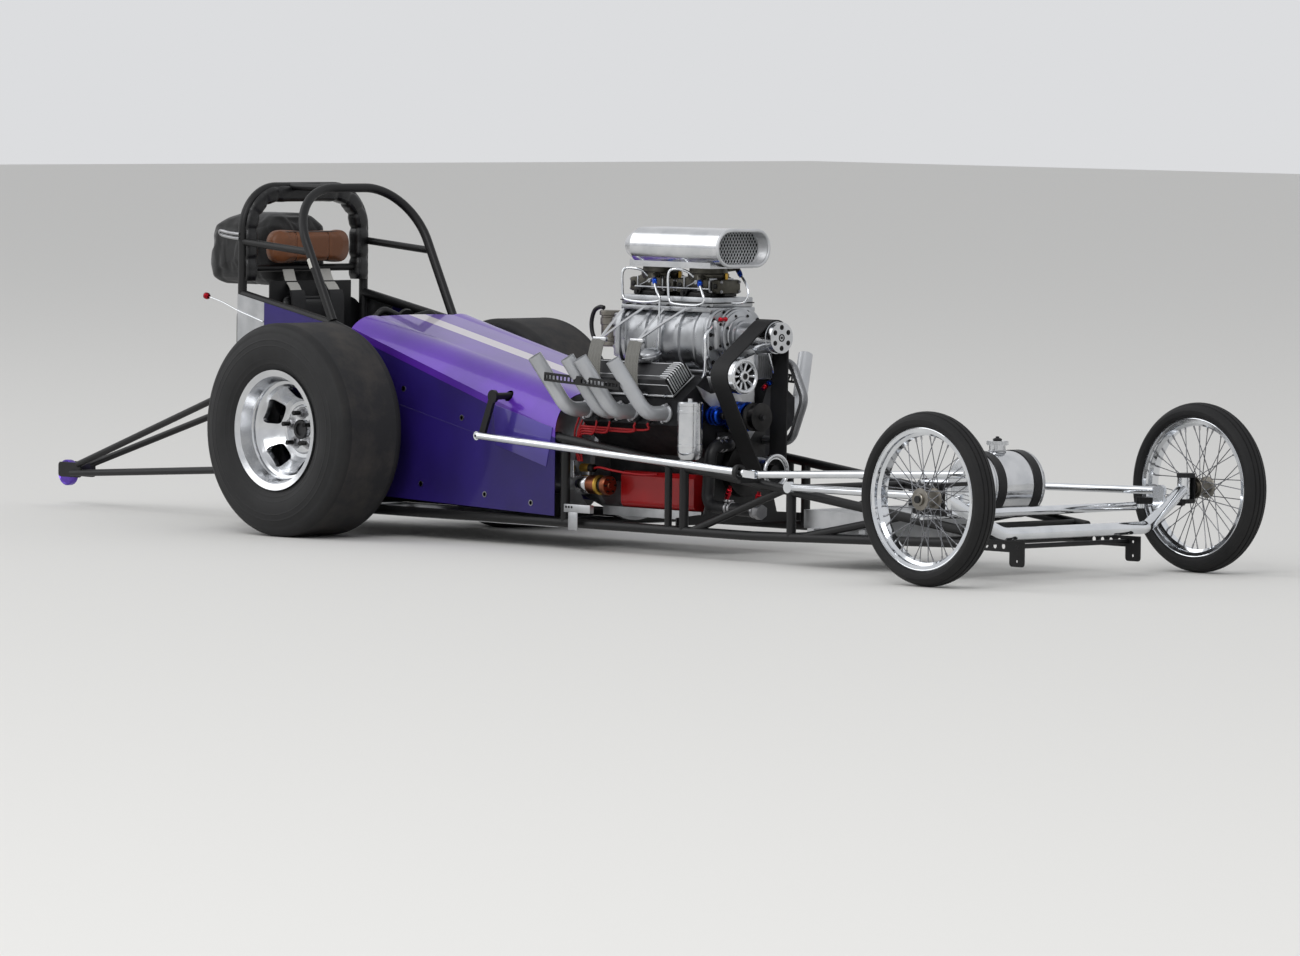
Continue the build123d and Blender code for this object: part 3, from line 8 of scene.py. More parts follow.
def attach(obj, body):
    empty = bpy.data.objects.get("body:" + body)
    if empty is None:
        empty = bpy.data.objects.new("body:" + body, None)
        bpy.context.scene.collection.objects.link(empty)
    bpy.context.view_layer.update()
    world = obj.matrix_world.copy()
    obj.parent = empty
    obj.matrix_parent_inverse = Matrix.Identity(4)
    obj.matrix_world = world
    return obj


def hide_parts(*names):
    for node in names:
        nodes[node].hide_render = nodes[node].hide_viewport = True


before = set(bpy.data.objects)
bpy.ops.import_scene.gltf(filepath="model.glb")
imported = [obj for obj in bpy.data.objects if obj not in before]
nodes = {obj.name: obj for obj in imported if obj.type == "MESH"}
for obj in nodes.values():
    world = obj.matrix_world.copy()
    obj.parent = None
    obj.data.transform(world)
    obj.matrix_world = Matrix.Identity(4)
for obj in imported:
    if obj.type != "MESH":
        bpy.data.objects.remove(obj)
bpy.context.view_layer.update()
middleX = 0.7482  # the CAD origin lies this far ahead of the rear axle, and every place below is from the rear axle
ahead, aloft = (1, 0, 0), (0, 0, 1)
materials = {}


def linear(hexColour):
    # sRGB hex to linear colour
    parts = [int(hexColour[i:i + 2], 16) / 255 for i in (1, 3, 5)]
    return [c / 12.92 if c <= 0.04045 else ((c + 0.055) / 1.055) ** 2.4 for c in parts] + [1]


def addNode(tree, kind, inputs=None, **settings):
    # one node with its settings; an input is a value or another node's socket
    made = tree.nodes.new(kind)
    for name, value in settings.items():
        setattr(made, name, value)
    for key, value in (inputs or {}).items():
        if isinstance(value, bpy.types.NodeSocket):
            tree.links.new(value, made.inputs[key])
        else:
            made.inputs[key].default_value = value
    return made


def newMaterial(name, settings):
    # a Principled material with its fixed values, ready for patterns
    materials[name] = bpy.data.materials.new(name)
    materials[name].use_nodes = True
    tree = materials[name].node_tree
    shader = tree.nodes["Principled BSDF"]
    for key, value in settings.items():
        shader.inputs[key].default_value = linear(value) if isinstance(value, str) else value
    return tree, shader


def objectPlace(tree):
    return addNode(tree, "ShaderNodeTexCoord").outputs["Object"]


def mixColours(tree, factor, first, second):
    mix = addNode(tree, "ShaderNodeMix", {0: factor}, data_type="RGBA")
    for socket, colour in ((mix.inputs[6], first), (mix.inputs[7], second)):
        if isinstance(colour, bpy.types.NodeSocket):
            tree.links.new(colour, socket)
        else:
            socket.default_value = linear(colour) if isinstance(colour, str) else colour
    return mix.outputs[2]


def noiseValue(tree, scale, detail=3, roughness=0.5):
    return addNode(tree, "ShaderNodeTexNoise", {"Vector": objectPlace(tree), "Scale": scale, "Detail": detail,
                   "Roughness": roughness}).outputs["Fac"]


def remap(tree, value, low, high, toLow, toHigh):
    return addNode(tree, "ShaderNodeMapRange", {"Value": value, "From Min": low, "From Max": high, "To Min": toLow,
                   "To Max": toHigh}).outputs["Result"]


def bumpFrom(tree, shader, height, strength, distance):
    bump = addNode(tree, "ShaderNodeBump", {"Height": height, "Strength": strength, "Distance": distance})
    tree.links.new(bump.outputs["Normal"], shader.inputs["Normal"])


def wornMetal(name, colour, darkColour, roughness, smudge, grain=0, settings=None):
    # metal with faint smudges in its gloss and, where grain is given, a fine cast or brushed surface
    tree, shader = newMaterial(name, {"Metallic": 1.0, "Roughness": roughness, **(settings or {})})
    cloud = noiseValue(tree, 14, 4)
    tree.links.new(mixColours(tree, remap(tree, cloud, 0.35, 0.7, 0, 1), colour, darkColour), shader.inputs["Base Color"])
    tree.links.new(remap(tree, noiseValue(tree, 38, 3), 0.3, 0.75, roughness, roughness + smudge),
                   shader.inputs["Roughness"])
    if grain:
        bumpFrom(tree, shader, noiseValue(tree, grain, 2), 0.25, 0.0004)


def coatedPaint(name, colour, darkColour, settings, flake=0, orangePeel=0.05):
    # sprayed paint: slight colour drift, orange peel and, for metallic paint, flakes about 0.3 mm across, whose pale
    # lavender in the colour is a painted glint
    tree, shader = newMaterial(name, {"Roughness": 0.35, "Coat Weight": 0.6, "Coat Roughness": 0.06, **settings})
    drift = remap(tree, noiseValue(tree, 3.5, 4), 0.35, 0.7, 0, 1)
    tint = mixColours(tree, drift, colour, darkColour)
    if flake:
        cells = addNode(tree, "ShaderNodeTexVoronoi", {"Vector": objectPlace(tree), "Scale": 1500})
        # flake centres turn pale lavender in the colour: real flakes, with a painted glint standing in for the sky's
        # reflection
        flakeAndPaintedGlint = remap(tree, cells.outputs["Distance"], 0.0, 0.35, flake, 0)
        tint = mixColours(tree, flakeAndPaintedGlint, tint, "#b9a9de")
    tree.links.new(tint, shader.inputs["Base Color"])
    bumpFrom(tree, shader, noiseValue(tree, 900, 1), orangePeel, 0.0003)


def rubberMaterial(name, colour, dustColour, roughness, dust):
    # vulcanised rubber: matt, with pale dust and scuffs
    tree, shader = newMaterial(name, {"Roughness": roughness, "Specular IOR Level": 0.35})
    patch = remap(tree, noiseValue(tree, 9, 6, 0.65), 0.42, 0.75, 0, dust)
    tree.links.new(mixColours(tree, patch, colour, dustColour), shader.inputs["Base Color"])
    bumpFrom(tree, shader, noiseValue(tree, 420, 3), 0.3, 0.0006)


def wovenMaterial(name, colour, darkColour, threadMm, roughness=0.85):
    # plain weave: two crossed waves at the thread spacing
    tree, shader = newMaterial(name, {"Roughness": roughness, "Sheen Weight": 0.25, "Sheen Roughness": 0.5})
    place = objectPlace(tree)
    scale = 1000 / threadMm / 2 / math.pi
    waves = [addNode(tree, "ShaderNodeTexWave", {"Vector": place, "Scale": scale, "Distortion": 0.4},
                     bands_direction=way).outputs["Fac"] for way in ("Y", "Z")]
    weave = addNode(tree, "ShaderNodeMath", {0: waves[0], 1: waves[1]}, operation="MULTIPLY").outputs[0]
    tree.links.new(mixColours(tree, weave, darkColour, colour), shader.inputs["Base Color"])
    bumpFrom(tree, shader, weave, 0.4, 0.0008)


def leatherMaterial(name, colour, creaseColour, roughness, grain):
    # leather or vinyl grain: cells about a millimetre across with darker creases
    tree, shader = newMaterial(name, {"Roughness": roughness})
    cells = addNode(tree, "ShaderNodeTexVoronoi", {"Vector": objectPlace(tree), "Scale": grain},
                    feature="DISTANCE_TO_EDGE").outputs["Distance"]
    crease = remap(tree, cells, 0, 0.12, 1, 0)
    tree.links.new(mixColours(tree, crease, colour, creaseColour), shader.inputs["Base Color"])
    bumpFrom(tree, shader, cells, 0.35, 0.0006)


def stripedPaint(name, colour, darkColour, settings, stripe):
    # the same sprayed paint with a pale stripe along the middle of the cowl's top
    coatedPaint(name, colour, darkColour, settings, flake=0.2)
    tree = materials[name].node_tree
    shader = tree.nodes["Principled BSDF"]
    under = shader.inputs["Base Color"].links[0].from_socket
    place = addNode(tree, "ShaderNodeSeparateXYZ", {"Vector": objectPlace(tree)}).outputs["Y"]
    away = addNode(tree, "ShaderNodeMath", {0: place}, operation="ABSOLUTE").outputs[0]
    inside = remap(tree, away, stripe["half"], stripe["half"] + 0.0012, 1, 0)
    tree.links.new(mixColours(tree, inside, under, stripe["colour"]), shader.inputs["Base Color"])


# candy paint over a metallic base: deep violet with pale lavender flakes painted into its colour all over, a painted
# reflection of the sky, and the cowl's pale stripe
stripedPaint("candyPurplePaint", "#5c24ae", "#481b90", {"Metallic": 0.25, "Roughness": 0.36, "Coat Weight": 0.55,
             "Coat Roughness": 0.03}, {"half": 0.0375, "colour": "#cfc8cf"})
# paints and coatings: colour, colour of the drift, settings, flakes with their painted lavender glint, orange peel
for paint in (
    # dark blue-violet panels, duller than the cowl
    ("indigoPaint", "#27166e", "#1e1056", {"Metallic": 0.15, "Roughness": 0.45, "Specular IOR Level": 0.35,
     "Coat Weight": 0.2}, 0.08),
    # a lighter violet with a clear gloss
    ("fairingPaint", "#4a3a9c", "#3a2b86", {"Metallic": 0.3, "Roughness": 0.34, "Coat Weight": 0.9}, 0.12),
    # even satin black with a fine pebbled skin
    ("blackPowderCoat", "#0b0b0d", "#070708", {"Roughness": 0.5, "Specular IOR Level": 0.35, "Coat Weight": 0.1,
     "Coat Roughness": 0.3}, 0, 0.25),
    # full red with soft highlights
    ("redEnamel", "#a50d12", "#870a0e", {"Roughness": 0.36, "Specular IOR Level": 0.3, "Coat Weight": 0.2}),
    # chalky silver-white, half metal
    ("whiteCeramicCoating", "#c3c5c8", "#a4a6a9", {"Metallic": 0.55, "Roughness": 0.36, "Coat Weight": 0.1}),
    # charcoal with a wrinkled skin
    ("blackCrinklePaint", "#1b1b1e", "#121214", {"Roughness": 0.55, "Coat Weight": 0.1}, 0, 0.6),
):
    coatedPaint(*paint)
# metals: colour, colour of the smudges, roughness, how far smudges raise it, grain of a cast skin
for metal in (
    ("chromePlate", "#e3e5e8", "#d5d8dc", 0.05, 0.05),  # mirror bright, the sharpest reflections
    ("polishedAluminium", "#d9dadc", "#c6c8cb", 0.14, 0.1),  # bright with soft-edged reflections
    ("castAluminium", "#b9babc", "#9d9ea1", 0.34, 0.15, 300),  # pale grey with a sandy skin
    ("satinAluminium", "#b4b6b9", "#989a9d", 0.26, 0.12),  # grey with wide highlights
    ("agedAluminium", "#8f8b84", "#67635c", 0.3, 0.2),  # warm grey, dulled by heat and dust
    ("spokeSteel", "#85868a", "#6c6d70", 0.22, 0.1),  # stainless, darker than the chrome round it
    ("copperBand", "#8f5840", "#6b3c29", 0.28, 0.15),  # a reddish band between grey castings
    ("carbCasting", "#615f58", "#3f3d37", 0.42, 0.2, 260),  # dull olive-grey casting
    ("sheetAluminium", "#bfc0c2", "#a9abad", 0.28, 0.16),  # rolled sheet with cloudy highlights
    ("darkSteel", "#3d3c3c", "#262626", 0.35, 0.15),  # oiled steel, nearly black in shade
    ("machinedSteel", "#a7a7a9", "#87878a", 0.3, 0.15),  # fresh-cut mid grey
    ("castIron", "#3a3a3c", "#29292b", 0.5, 0.15, 350),  # dark and rough
    ("blueAnodised", "#1f4fc0", "#163a94", 0.25, 0.1),  # clear blue over metal
    ("redAnodised", "#b3202c", "#8a1620", 0.25, 0.1),  # clear red over metal
    ("purpleAnodised", "#6a4fb5", "#513a92", 0.25, 0.1),  # clear violet over metal
    ("brass", "#c9a24b", "#a98436", 0.3, 0.15),  # yellow metal
    # fins and mesh catch the light more evenly than the polished faces round them
    ("finAluminium", "#cfd0d2", "#b2b4b6", 0.38, 0.1, 0, {"Metallic": 0.6}),
):
    wornMetal(*metal)
# rubbers: colour, colour of the dust, roughness, how much dust
for rubber in (
    ("slickRubber", "#1a1a1b", "#29292a", 0.62, 0.5),  # dark grey walls with dull patches
    ("slickTread", "#222223", "#3c3937", 0.8, 0.35),  # the tread's matt, greyer shoulders
    ("scuffedTread", "#2b2b2c", "#4b4641", 0.85, 0.6),  # worn brownish band that meets the track
    ("tyreRubber", "#141415", "#2c2b2a", 0.7, 0.35),  # nearly black front tyres
    ("beltRubber", "#141415", "#26262a", 0.65, 0.25),  # even black
    ("blackHose", "#151517", "#2c2c30", 0.45, 0.2),  # black with a slight shine
    ("redSilicone", "#a3161d", "#7d1016", 0.5, 0.3),  # soft red leads
):
    rubberMaterial(*rubber)
leatherMaterial("blackVinyl", "#131315", "#0a0a0b", 0.36, 900)  # black with small sharp highlights
leatherMaterial("brownLeather", "#7b4a2a", "#4d2b16", 0.45, 700)  # saddle brown with darker creases
# woven cloth: colour, colour between the threads, thread in millimetres, roughness
for cloth in (
    ("blackNylon", "#141416", "#0a0a0b", 1.2),  # soft black bag cloth
    ("blackWebbing", "#232326", "#111113", 1.6),  # coarse charcoal belts
    ("whiteWebbing", "#d8d7d2", "#a5a49f", 1.6),  # off-white belts
    ("whiteTape", "#dcdbd6", "#c2c0b8", 1.2, 0.7),  # cloth tape, a little smoother
    ("greyWebbing", "#8f8e88", "#5e5d58", 1.6),  # faded restraint straps
    ("braidedSteel", "#c6c7c9", "#5c5d60", 1.4, 0.35),  # glittering braid
):
    wovenMaterial(*cloth)
materials["braidedSteel"].node_tree.nodes["Principled BSDF"].inputs["Metallic"].default_value = 0.9
print("materials ready:", len(materials))

nodeLooks = {
    "candyPurplePaint": "cowl", "indigoPaint": "side_panels", "purpleAnodised": "wheelie_wheel",
    "blackPowderCoat": "frame_rails frame_members roll_cage wheelie_bar front_brackets seat axle_housing knuckle_right "
                       "knuckle_left pitman_arm steering_wheel",
    "blackVinyl": "seat_padding hoop_padding", "brownLeather": "headrest", "blackNylon": "parachute_pack",
    "blackWebbing": "harness", "castIron": "engine_block steering_box", "redEnamel": "oil_pan",
    "blackCrinklePaint": "valve_covers", "whiteCeramicCoating": "headers", "beltRubber": "drive_belt",
    "braidedSteel": "hoses", "castAluminium": "carburettors gearbox", "sheetAluminium": "battery_box floor_and_firewall",
    "polishedAluminium": "supercharger air_scoop blower_pulleys engine_accessories front_tank rear_wheel_right "
                         "rear_wheel_left",
    "chromePlate": "front_axle tie_rod drag_link_rear drag_link_front front_wheel_right front_wheel_left",
    "slickRubber": "rear_tyre_right rear_tyre_left", "tyreRubber": "front_tyre_right front_tyre_left",
}
for look, names in nodeLooks.items():
    for name in names.split():
        nodes[name].data.materials.clear()
        nodes[name].data.materials.append(materials[look])
print("nodes dressed")


def toFrame(point):
    return Vector((point[0] - middleX, point[1], point[2]))


def turnTo(direction):
    # rotation that takes +Z to a direction
    return Vector(aloft).rotation_difference(Vector(direction).normalized()).to_matrix()


def arcPoints(first, through, last, count):
    # points on the circle through three 2-D points, both ends included
    (ax, ay), (bx, by), (cx, cy) = first, through, last
    d = 2 * (ax * (by - cy) + bx * (cy - ay) + cx * (ay - by))
    ux = ((ax ** 2 + ay ** 2) * (by - cy) + (bx ** 2 + by ** 2) * (cy - ay) + (cx ** 2 + cy ** 2) * (ay - by)) / d
    uy = ((ax ** 2 + ay ** 2) * (cx - bx) + (bx ** 2 + by ** 2) * (ax - cx) + (cx ** 2 + cy ** 2) * (bx - ax)) / d
    radius = math.hypot(ax - ux, ay - uy)
    start, mid, end = (math.atan2(y - uy, x - ux) for x, y in (first, through, last))
    full = 2 * math.pi
    sweep = (end - start) % full
    if (mid - start) % full > sweep:
        sweep -= full
    return [(ux + radius * math.cos(start + sweep * i / count), uy + radius * math.sin(start + sweep * i / count))
            for i in range(count + 1)]


def smoothLine(points, steps=6):
    # Catmull-Rom curve through the points
    spots = [Vector(p) for p in points]
    spots = [2 * spots[0] - spots[1]] + spots + [2 * spots[-1] - spots[-2]]
    line = []
    for a, b, c, d in zip(spots, spots[1:], spots[2:], spots[3:]):
        for i in range(steps):
            t = i / steps
            bend, twist = 2 * a - 5 * b + 4 * c - d, 3 * b - a - 3 * c + d
            line.append(0.5 * (2 * b + (c - a) * t + bend * t ** 2 + twist * t ** 3))
    return line + [spots[-2]]


def skinRings(bm, rings, look=0, closed=False, capped=True):
    # faces between rings of points, where a ring of one point is a tip
    for first, second in list(zip(rings, rings[1:])) + ([(rings[-1], rings[0])] if closed else []):
        count = max(len(first), len(second))
        for i in range(count):
            j = (i + 1) % count
            if len(first) == 1:
                corners = (first[0], second[j], second[i])
            elif len(second) == 1:
                corners = (first[i], first[j], second[0])
            else:
                corners = (first[i], first[j], second[j], second[i])
            bm.faces.new(corners).material_index = look
    if capped:
        for ring in (rings[0][::-1], rings[-1]):
            bm.faces.new(ring).material_index = look


def addTurned(bm, bands, place, direction, look=0, segments=48, closed=False):
    # solid of revolution from bands in millimetres: a radius, then where it starts and ends along the direction
    turn, base = turnTo(direction), toFrame(place)
    profile = [(radius / 1000, stop / 1000) for radius, *stops in bands for stop in stops]
    if not closed:
        profile = [(0, profile[0][1])] * (bands[0][0] > 0) + profile + [(0, profile[-1][1])] * (bands[-1][0] > 0)
    rings = []
    for radius, along in profile:
        angles = [2 * math.pi * i / segments for i in range(segments)] if radius > 1e-6 else [0]
        rings.append([bm.verts.new(base + turn @ Vector((radius * math.cos(a), radius * math.sin(a), along)))
                      for a in angles])
    skinRings(bm, rings, look, closed, False)


def addTube(bm, points, radius, look=0, sides=12, closed=False):
    # round tube along points; radius is one number or one for each point
    spots = [toFrame(p) for p in points]
    count = len(spots)
    radii = radius if isinstance(radius, (list, tuple)) else [radius] * count
    side = None
    rings = []
    for i, spot in enumerate(spots):
        following = spots[(i + 1) % count] if closed or i + 1 < count else spot
        previous = spots[i - 1] if closed or i else spot
        along = (following - previous).normalized()
        if side is None:
            side = along.orthogonal().normalized()
        side = (side - along * side.dot(along)).normalized()
        other = along.cross(side)
        rings.append([bm.verts.new(spot + radii[i] * (math.cos(a) * side + math.sin(a) * other))
                      for a in (2 * math.pi * k / sides for k in range(sides))])
    skinRings(bm, rings, look, closed, not closed)


def addBox(bm, low, high, look=0, bevel=0.0):
    low, high = toFrame(low), toFrame(high)
    spots = [bm.verts.new((x, y, z)) for x in (low.x, high.x) for y in (low.y, high.y) for z in (low.z, high.z)]
    quads = ((0, 1, 3, 2), (4, 6, 7, 5), (0, 4, 5, 1), (2, 3, 7, 6), (0, 2, 6, 4), (1, 5, 7, 3))
    faces = [bm.faces.new([spots[i] for i in quad]) for quad in quads]
    for face in faces:
        face.material_index = look
    if bevel:
        edges = list({edge for face in faces for edge in face.edges})
        bmesh.ops.bevel(bm, geom=edges, offset=bevel, segments=2, affect="EDGES", profile=0.5, material=look)


def addPlate(bm, outline, origin, acrossAxis, upAxis, thickness, look=0, bevel=0.0):
    # flat plate from a 2-D outline, thickness along across x up
    across, up = Vector(acrossAxis).normalized(), Vector(upAxis).normalized()
    normal = across.cross(up)
    base = toFrame(origin)
    bottom = [bm.verts.new(base + across * a + up * b) for a, b in outline]
    top = [bm.verts.new(v.co + normal * thickness) for v in bottom]
    faces = [bm.faces.new(bottom[::-1]), bm.faces.new(top)]
    for i in range(len(bottom)):
        j = (i + 1) % len(bottom)
        faces.append(bm.faces.new((bottom[i], bottom[j], top[j], top[i])))
    for face in faces:
        face.material_index = look
    if bevel:
        bmesh.ops.bevel(bm, geom=list(faces[1].edges), offset=bevel, segments=2, affect="EDGES", profile=0.5,
                        material=look)


def ringPoints(place, radius, axis, count, phase=0):
    # places round a circle about the x, y or z axis, with the phase in steps
    spots = []
    for i in range(count):
        angle = 2 * math.pi * (i + phase) / count
        turned = [radius * math.cos(angle), radius * math.sin(angle)]
        turned.insert("xyz".index(axis), 0)
        spots.append(tuple(p + t for p, t in zip(place, turned)))
    return spots


def roundedOutline(halfWidth, halfHeight, radius, steps=6):
    outline = []
    for number, (sx, sy) in enumerate(((1, 1), (-1, 1), (-1, -1), (1, -1))):
        for i in range(steps + 1):
            angle = math.pi / 2 * (number + i / steps)
            outline.append((sx * (halfWidth - radius) + radius * math.cos(angle),
                            sy * (halfHeight - radius) + radius * math.sin(angle)))
    return outline


def finishPiece(name, mesh, looks=(), body="chassis", replaced=(), angle=34):
    # makes an object of a bmesh or a baked mesh, ties it to its CAD body and hides the CAD nodes it replaces
    if isinstance(mesh, bmesh.types.BMesh):
        bmesh.ops.recalc_face_normals(mesh, faces=mesh.faces[:])
        made = bpy.data.meshes.new(name)
        mesh.to_mesh(made)
        mesh.free()
        for polygon in made.polygons:
            polygon.use_smooth = True
        made.set_sharp_from_angle(angle=math.radians(angle))
    else:
        made = mesh
        made.name = name
    for look in looks:
        made.materials.append(materials[look])
    piece = bpy.data.objects.new(name, made)
    bpy.context.scene.collection.objects.link(piece)
    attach(piece, body)
    if replaced:
        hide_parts(*replaced)
    return piece


def nodeTree(name, inputs):
    # an empty Geometry Nodes tree with its named inputs
    tree = bpy.data.node_groups.new(name, "GeometryNodeTree")
    tree.interface.new_socket(name="Geometry", in_out="INPUT", socket_type="NodeSocketGeometry")
    for label, kind in inputs:
        tree.interface.new_socket(name=label, in_out="INPUT", socket_type=kind)
    tree.interface.new_socket(name="Geometry", in_out="OUTPUT", socket_type="NodeSocketGeometry")
    return tree, addNode(tree, "NodeGroupInput").outputs


def closeTree(tree, geometry, finish):
    dressed = addNode(tree, "GeometryNodeSetMaterial", {"Geometry": geometry, "Material": finish}).outputs["Geometry"]
    addNode(tree, "NodeGroupOutput", {"Geometry": dressed})
    return tree


def bakeTree(tree, mesh, inputs):
    # runs a tree on a mesh and keeps what it makes as a plain mesh
    holder = bpy.data.objects.new("holder", mesh)
    bpy.context.scene.collection.objects.link(holder)
    modifier = holder.modifiers.new("nodes", "NODES")
    modifier.node_group = tree
    for item in tree.interface.items_tree:
        if item.in_out == "INPUT" and item.name in inputs:
            modifier[item.identifier] = inputs[item.name]
    graph = bpy.context.evaluated_depsgraph_get()
    baked = bpy.data.meshes.new_from_object(holder.evaluated_get(graph), depsgraph=graph)
    bpy.data.objects.remove(holder)
    return baked


# tubes along the edges of a mesh: hoses, wires, cables, spokes
wireTree, entry = nodeTree("wires", (
    ("Radius", "NodeSocketFloat"), ("Sides", "NodeSocketInt"), ("Finish", "NodeSocketMaterial")))
curves = addNode(wireTree, "GeometryNodeMeshToCurve", {"Mesh": entry["Geometry"]}).outputs["Curve"]
circle = addNode(wireTree, "GeometryNodeCurvePrimitiveCircle", {"Resolution": entry["Sides"],
                 "Radius": entry["Radius"]}).outputs["Curve"]
tubes = addNode(wireTree, "GeometryNodeCurveToMesh", {"Curve": curves, "Profile Curve": circle,
                "Fill Caps": True}).outputs["Mesh"]
closeTree(wireTree, addNode(wireTree, "GeometryNodeSetShadeSmooth", {"Geometry": tubes}).outputs["Geometry"],
          entry["Finish"])

# bolt heads on washers at points, each turned to its "facing" and scaled by its "size"
boltTree, entry = nodeTree("bolts", (
    ("Sides", "NodeSocketInt"), ("Height", "NodeSocketFloat"), ("Finish", "NodeSocketMaterial")))
head = addNode(boltTree, "GeometryNodeMeshCylinder", {"Vertices": entry["Sides"], "Radius": 1.0,
               "Depth": entry["Height"]}).outputs["Mesh"]
middle = addNode(boltTree, "ShaderNodeMath", {0: entry["Height"], 1: 0.5}, operation="MULTIPLY").outputs[0]
lift = addNode(boltTree, "ShaderNodeCombineXYZ", {"Z": middle}).outputs[0]
head = addNode(boltTree, "GeometryNodeTransform", {"Geometry": head, "Translation": lift}).outputs["Geometry"]
washer = addNode(boltTree, "GeometryNodeMeshCylinder", {"Vertices": 20, "Radius": 1.4, "Depth": 0.5}).outputs["Mesh"]
bolt = addNode(boltTree, "GeometryNodeJoinGeometry")
for part in (head, washer):
    boltTree.links.new(part, bolt.inputs[0])
facing = addNode(boltTree, "GeometryNodeInputNamedAttribute", {"Name": "facing"},
                 data_type="FLOAT_VECTOR").outputs["Attribute"]
size = addNode(boltTree, "GeometryNodeInputNamedAttribute", {"Name": "size"}, data_type="FLOAT").outputs["Attribute"]
turn = addNode(boltTree, "FunctionNodeAlignRotationToVector", {"Vector": facing}, axis="Z").outputs["Rotation"]
spots = addNode(boltTree, "GeometryNodeInstanceOnPoints", {"Points": entry["Geometry"], "Instance": bolt.outputs[0],
                "Rotation": turn, "Scale": size}).outputs["Instances"]
closeTree(boltTree, addNode(boltTree, "GeometryNodeRealizeInstances", {"Geometry": spots}).outputs["Geometry"],
          entry["Finish"])


def wires(name, lines, radius, look, body="chassis", sides=8):
    # one piece of round wires along lines of points
    places, edges = [], []
    for line in lines:
        start = len(places)
        places += [toFrame(p) for p in line]
        edges += [(i, i + 1) for i in range(start, len(places) - 1)]
    mesh = bpy.data.meshes.new(name)
    mesh.from_pydata(places, edges, [])
    baked = bakeTree(wireTree, mesh, {"Radius": radius, "Sides": sides, "Finish": materials[look]})
    finishPiece(name, baked, (), body)


def bolts(name, rows, look, body="chassis", sides=6, height=1.1):
    # rows of place, facing and half width across the head
    mesh = bpy.data.meshes.new(name)
    mesh.from_pydata([toFrame(place) for place, _, _ in rows], [], [])
    facings = [part for _, facing, _ in rows for part in facing]
    mesh.attributes.new("facing", "FLOAT_VECTOR", "POINT").data.foreach_set("vector", facings)
    mesh.attributes.new("size", "FLOAT", "POINT").data.foreach_set("value", [size for _, _, size in rows])
    baked = bakeTree(boltTree, mesh, {"Sides": sides, "Height": height, "Finish": materials[look]})
    finishPiece(name, baked, (), body)


def paintFaces(node, rules):
    # gives the faces of a CAD node their finishes: rules of (test on a place from the rear axle, finish)
    mesh = nodes[node].data
    world = nodes[node].matrix_world
    for number, (test, look) in enumerate(rules):
        mesh.materials.append(materials[look])
        for polygon in mesh.polygons:
            spot = world @ polygon.center
            if test(spot.x + middleX, spot.y, spot.z):
                polygon.material_index = number + 1


# places of the wheels' hubs on the left side
rearHub, frontHub = (0, 0.514, 0.3685), (3.159, 0.631, 0.2794)
# rear slicks, in millimetres: ribbed walls, each rib a radius, half width and height, and a tread with a scuffed band
slick = {"radius": 368.5, "halfWidth": 150, "halfTread": 123.5, "bead": 125, "base": 190.8, "lip": 207.8, "crown": 62,
         "shoulder": (34, 8), "edge": (9, 7), "flat": 22, "scuffedHalf": 0.082, "treadSkin": 0.012,
         "ribs": ((230, 4, 1.6), (248, 2.2, 1), (292, 2.2, 1), (312, 3, 1.4))}


def addSlick(bm, side):
    s = slick
    shoulder = (s["radius"] - s["shoulder"][0], s["shoulder"][1] - s["halfWidth"])
    wall = arcPoints((s["lip"], -s["bead"]), (s["lip"] + s["crown"], -s["halfWidth"]), shoulder, 64)
    wall = [(r, y - max([height * max(0, 1 - abs(r - place) / half) for place, half, height in s["ribs"]]))
            for r, y in wall]
    edge = (s["radius"] - s["edge"][0], -s["halfTread"] - s["edge"][1])
    outer = wall + arcPoints(shoulder, edge, (s["radius"], s["flat"] - s["halfTread"]), 14)[1:]
    profile = outer + [(r, -y) for r, y in reversed(outer)] + [(s["base"], s["bead"]), (s["base"], -s["bead"])]
    addTurned(bm, profile, sideHub(rearHub, side), (0, -side, 0), 0, 144, True)
    for face in bm.faces:
        middle = face.calc_center_median()
        if math.hypot(middle.x + middleX, middle.z - rearHub[2]) > rearHub[2] - s["treadSkin"]:
            face.material_index = 2 if abs(abs(middle.y) - rearHub[1]) < s["scuffedHalf"] else 1


# narrow front tyres, in millimetres: four grooves round a crowned tread, and two fine ribs on the wall
frontTyre = {"radius": 279.4, "halfWidth": 45, "bead": 26, "base": 216.3, "lip": 229, "crown": 20, "shoulder": (267, 33),
             "ribs": ((240, 2.5, 1.2), (253.5, 2, 0.8)), "grooves": (-23.5, -8.5, 8.5, 23.5), "grooveHalf": 1.6,
             "grooveDepth": 3.5}


def addFrontTyre(bm, side):
    s = frontTyre
    edge = (s["shoulder"][0], -s["shoulder"][1])
    wall = arcPoints((s["lip"], -s["bead"]), (s["lip"] + s["crown"], -s["halfWidth"]), edge, 26)
    wall = [(r, y - sum(height * max(0, 1 - abs(r - place) / half) for place, half, height in s["ribs"]))
            for r, y in wall]
    tread = arcPoints(edge, (s["radius"], 0), s["shoulder"], 72)
    tread = [(r - s["grooveDepth"] * any(abs(y - g) < s["grooveHalf"] for g in s["grooves"]), y) for r, y in tread]
    profile = wall + tread[1:-1] + [(r, -y) for r, y in reversed(wall)]
    profile += [(s["base"], s["bead"]), (s["base"], -s["bead"])]
    addTurned(bm, profile, sideHub(frontHub, side), (0, -side, 0), 0, 144, True)


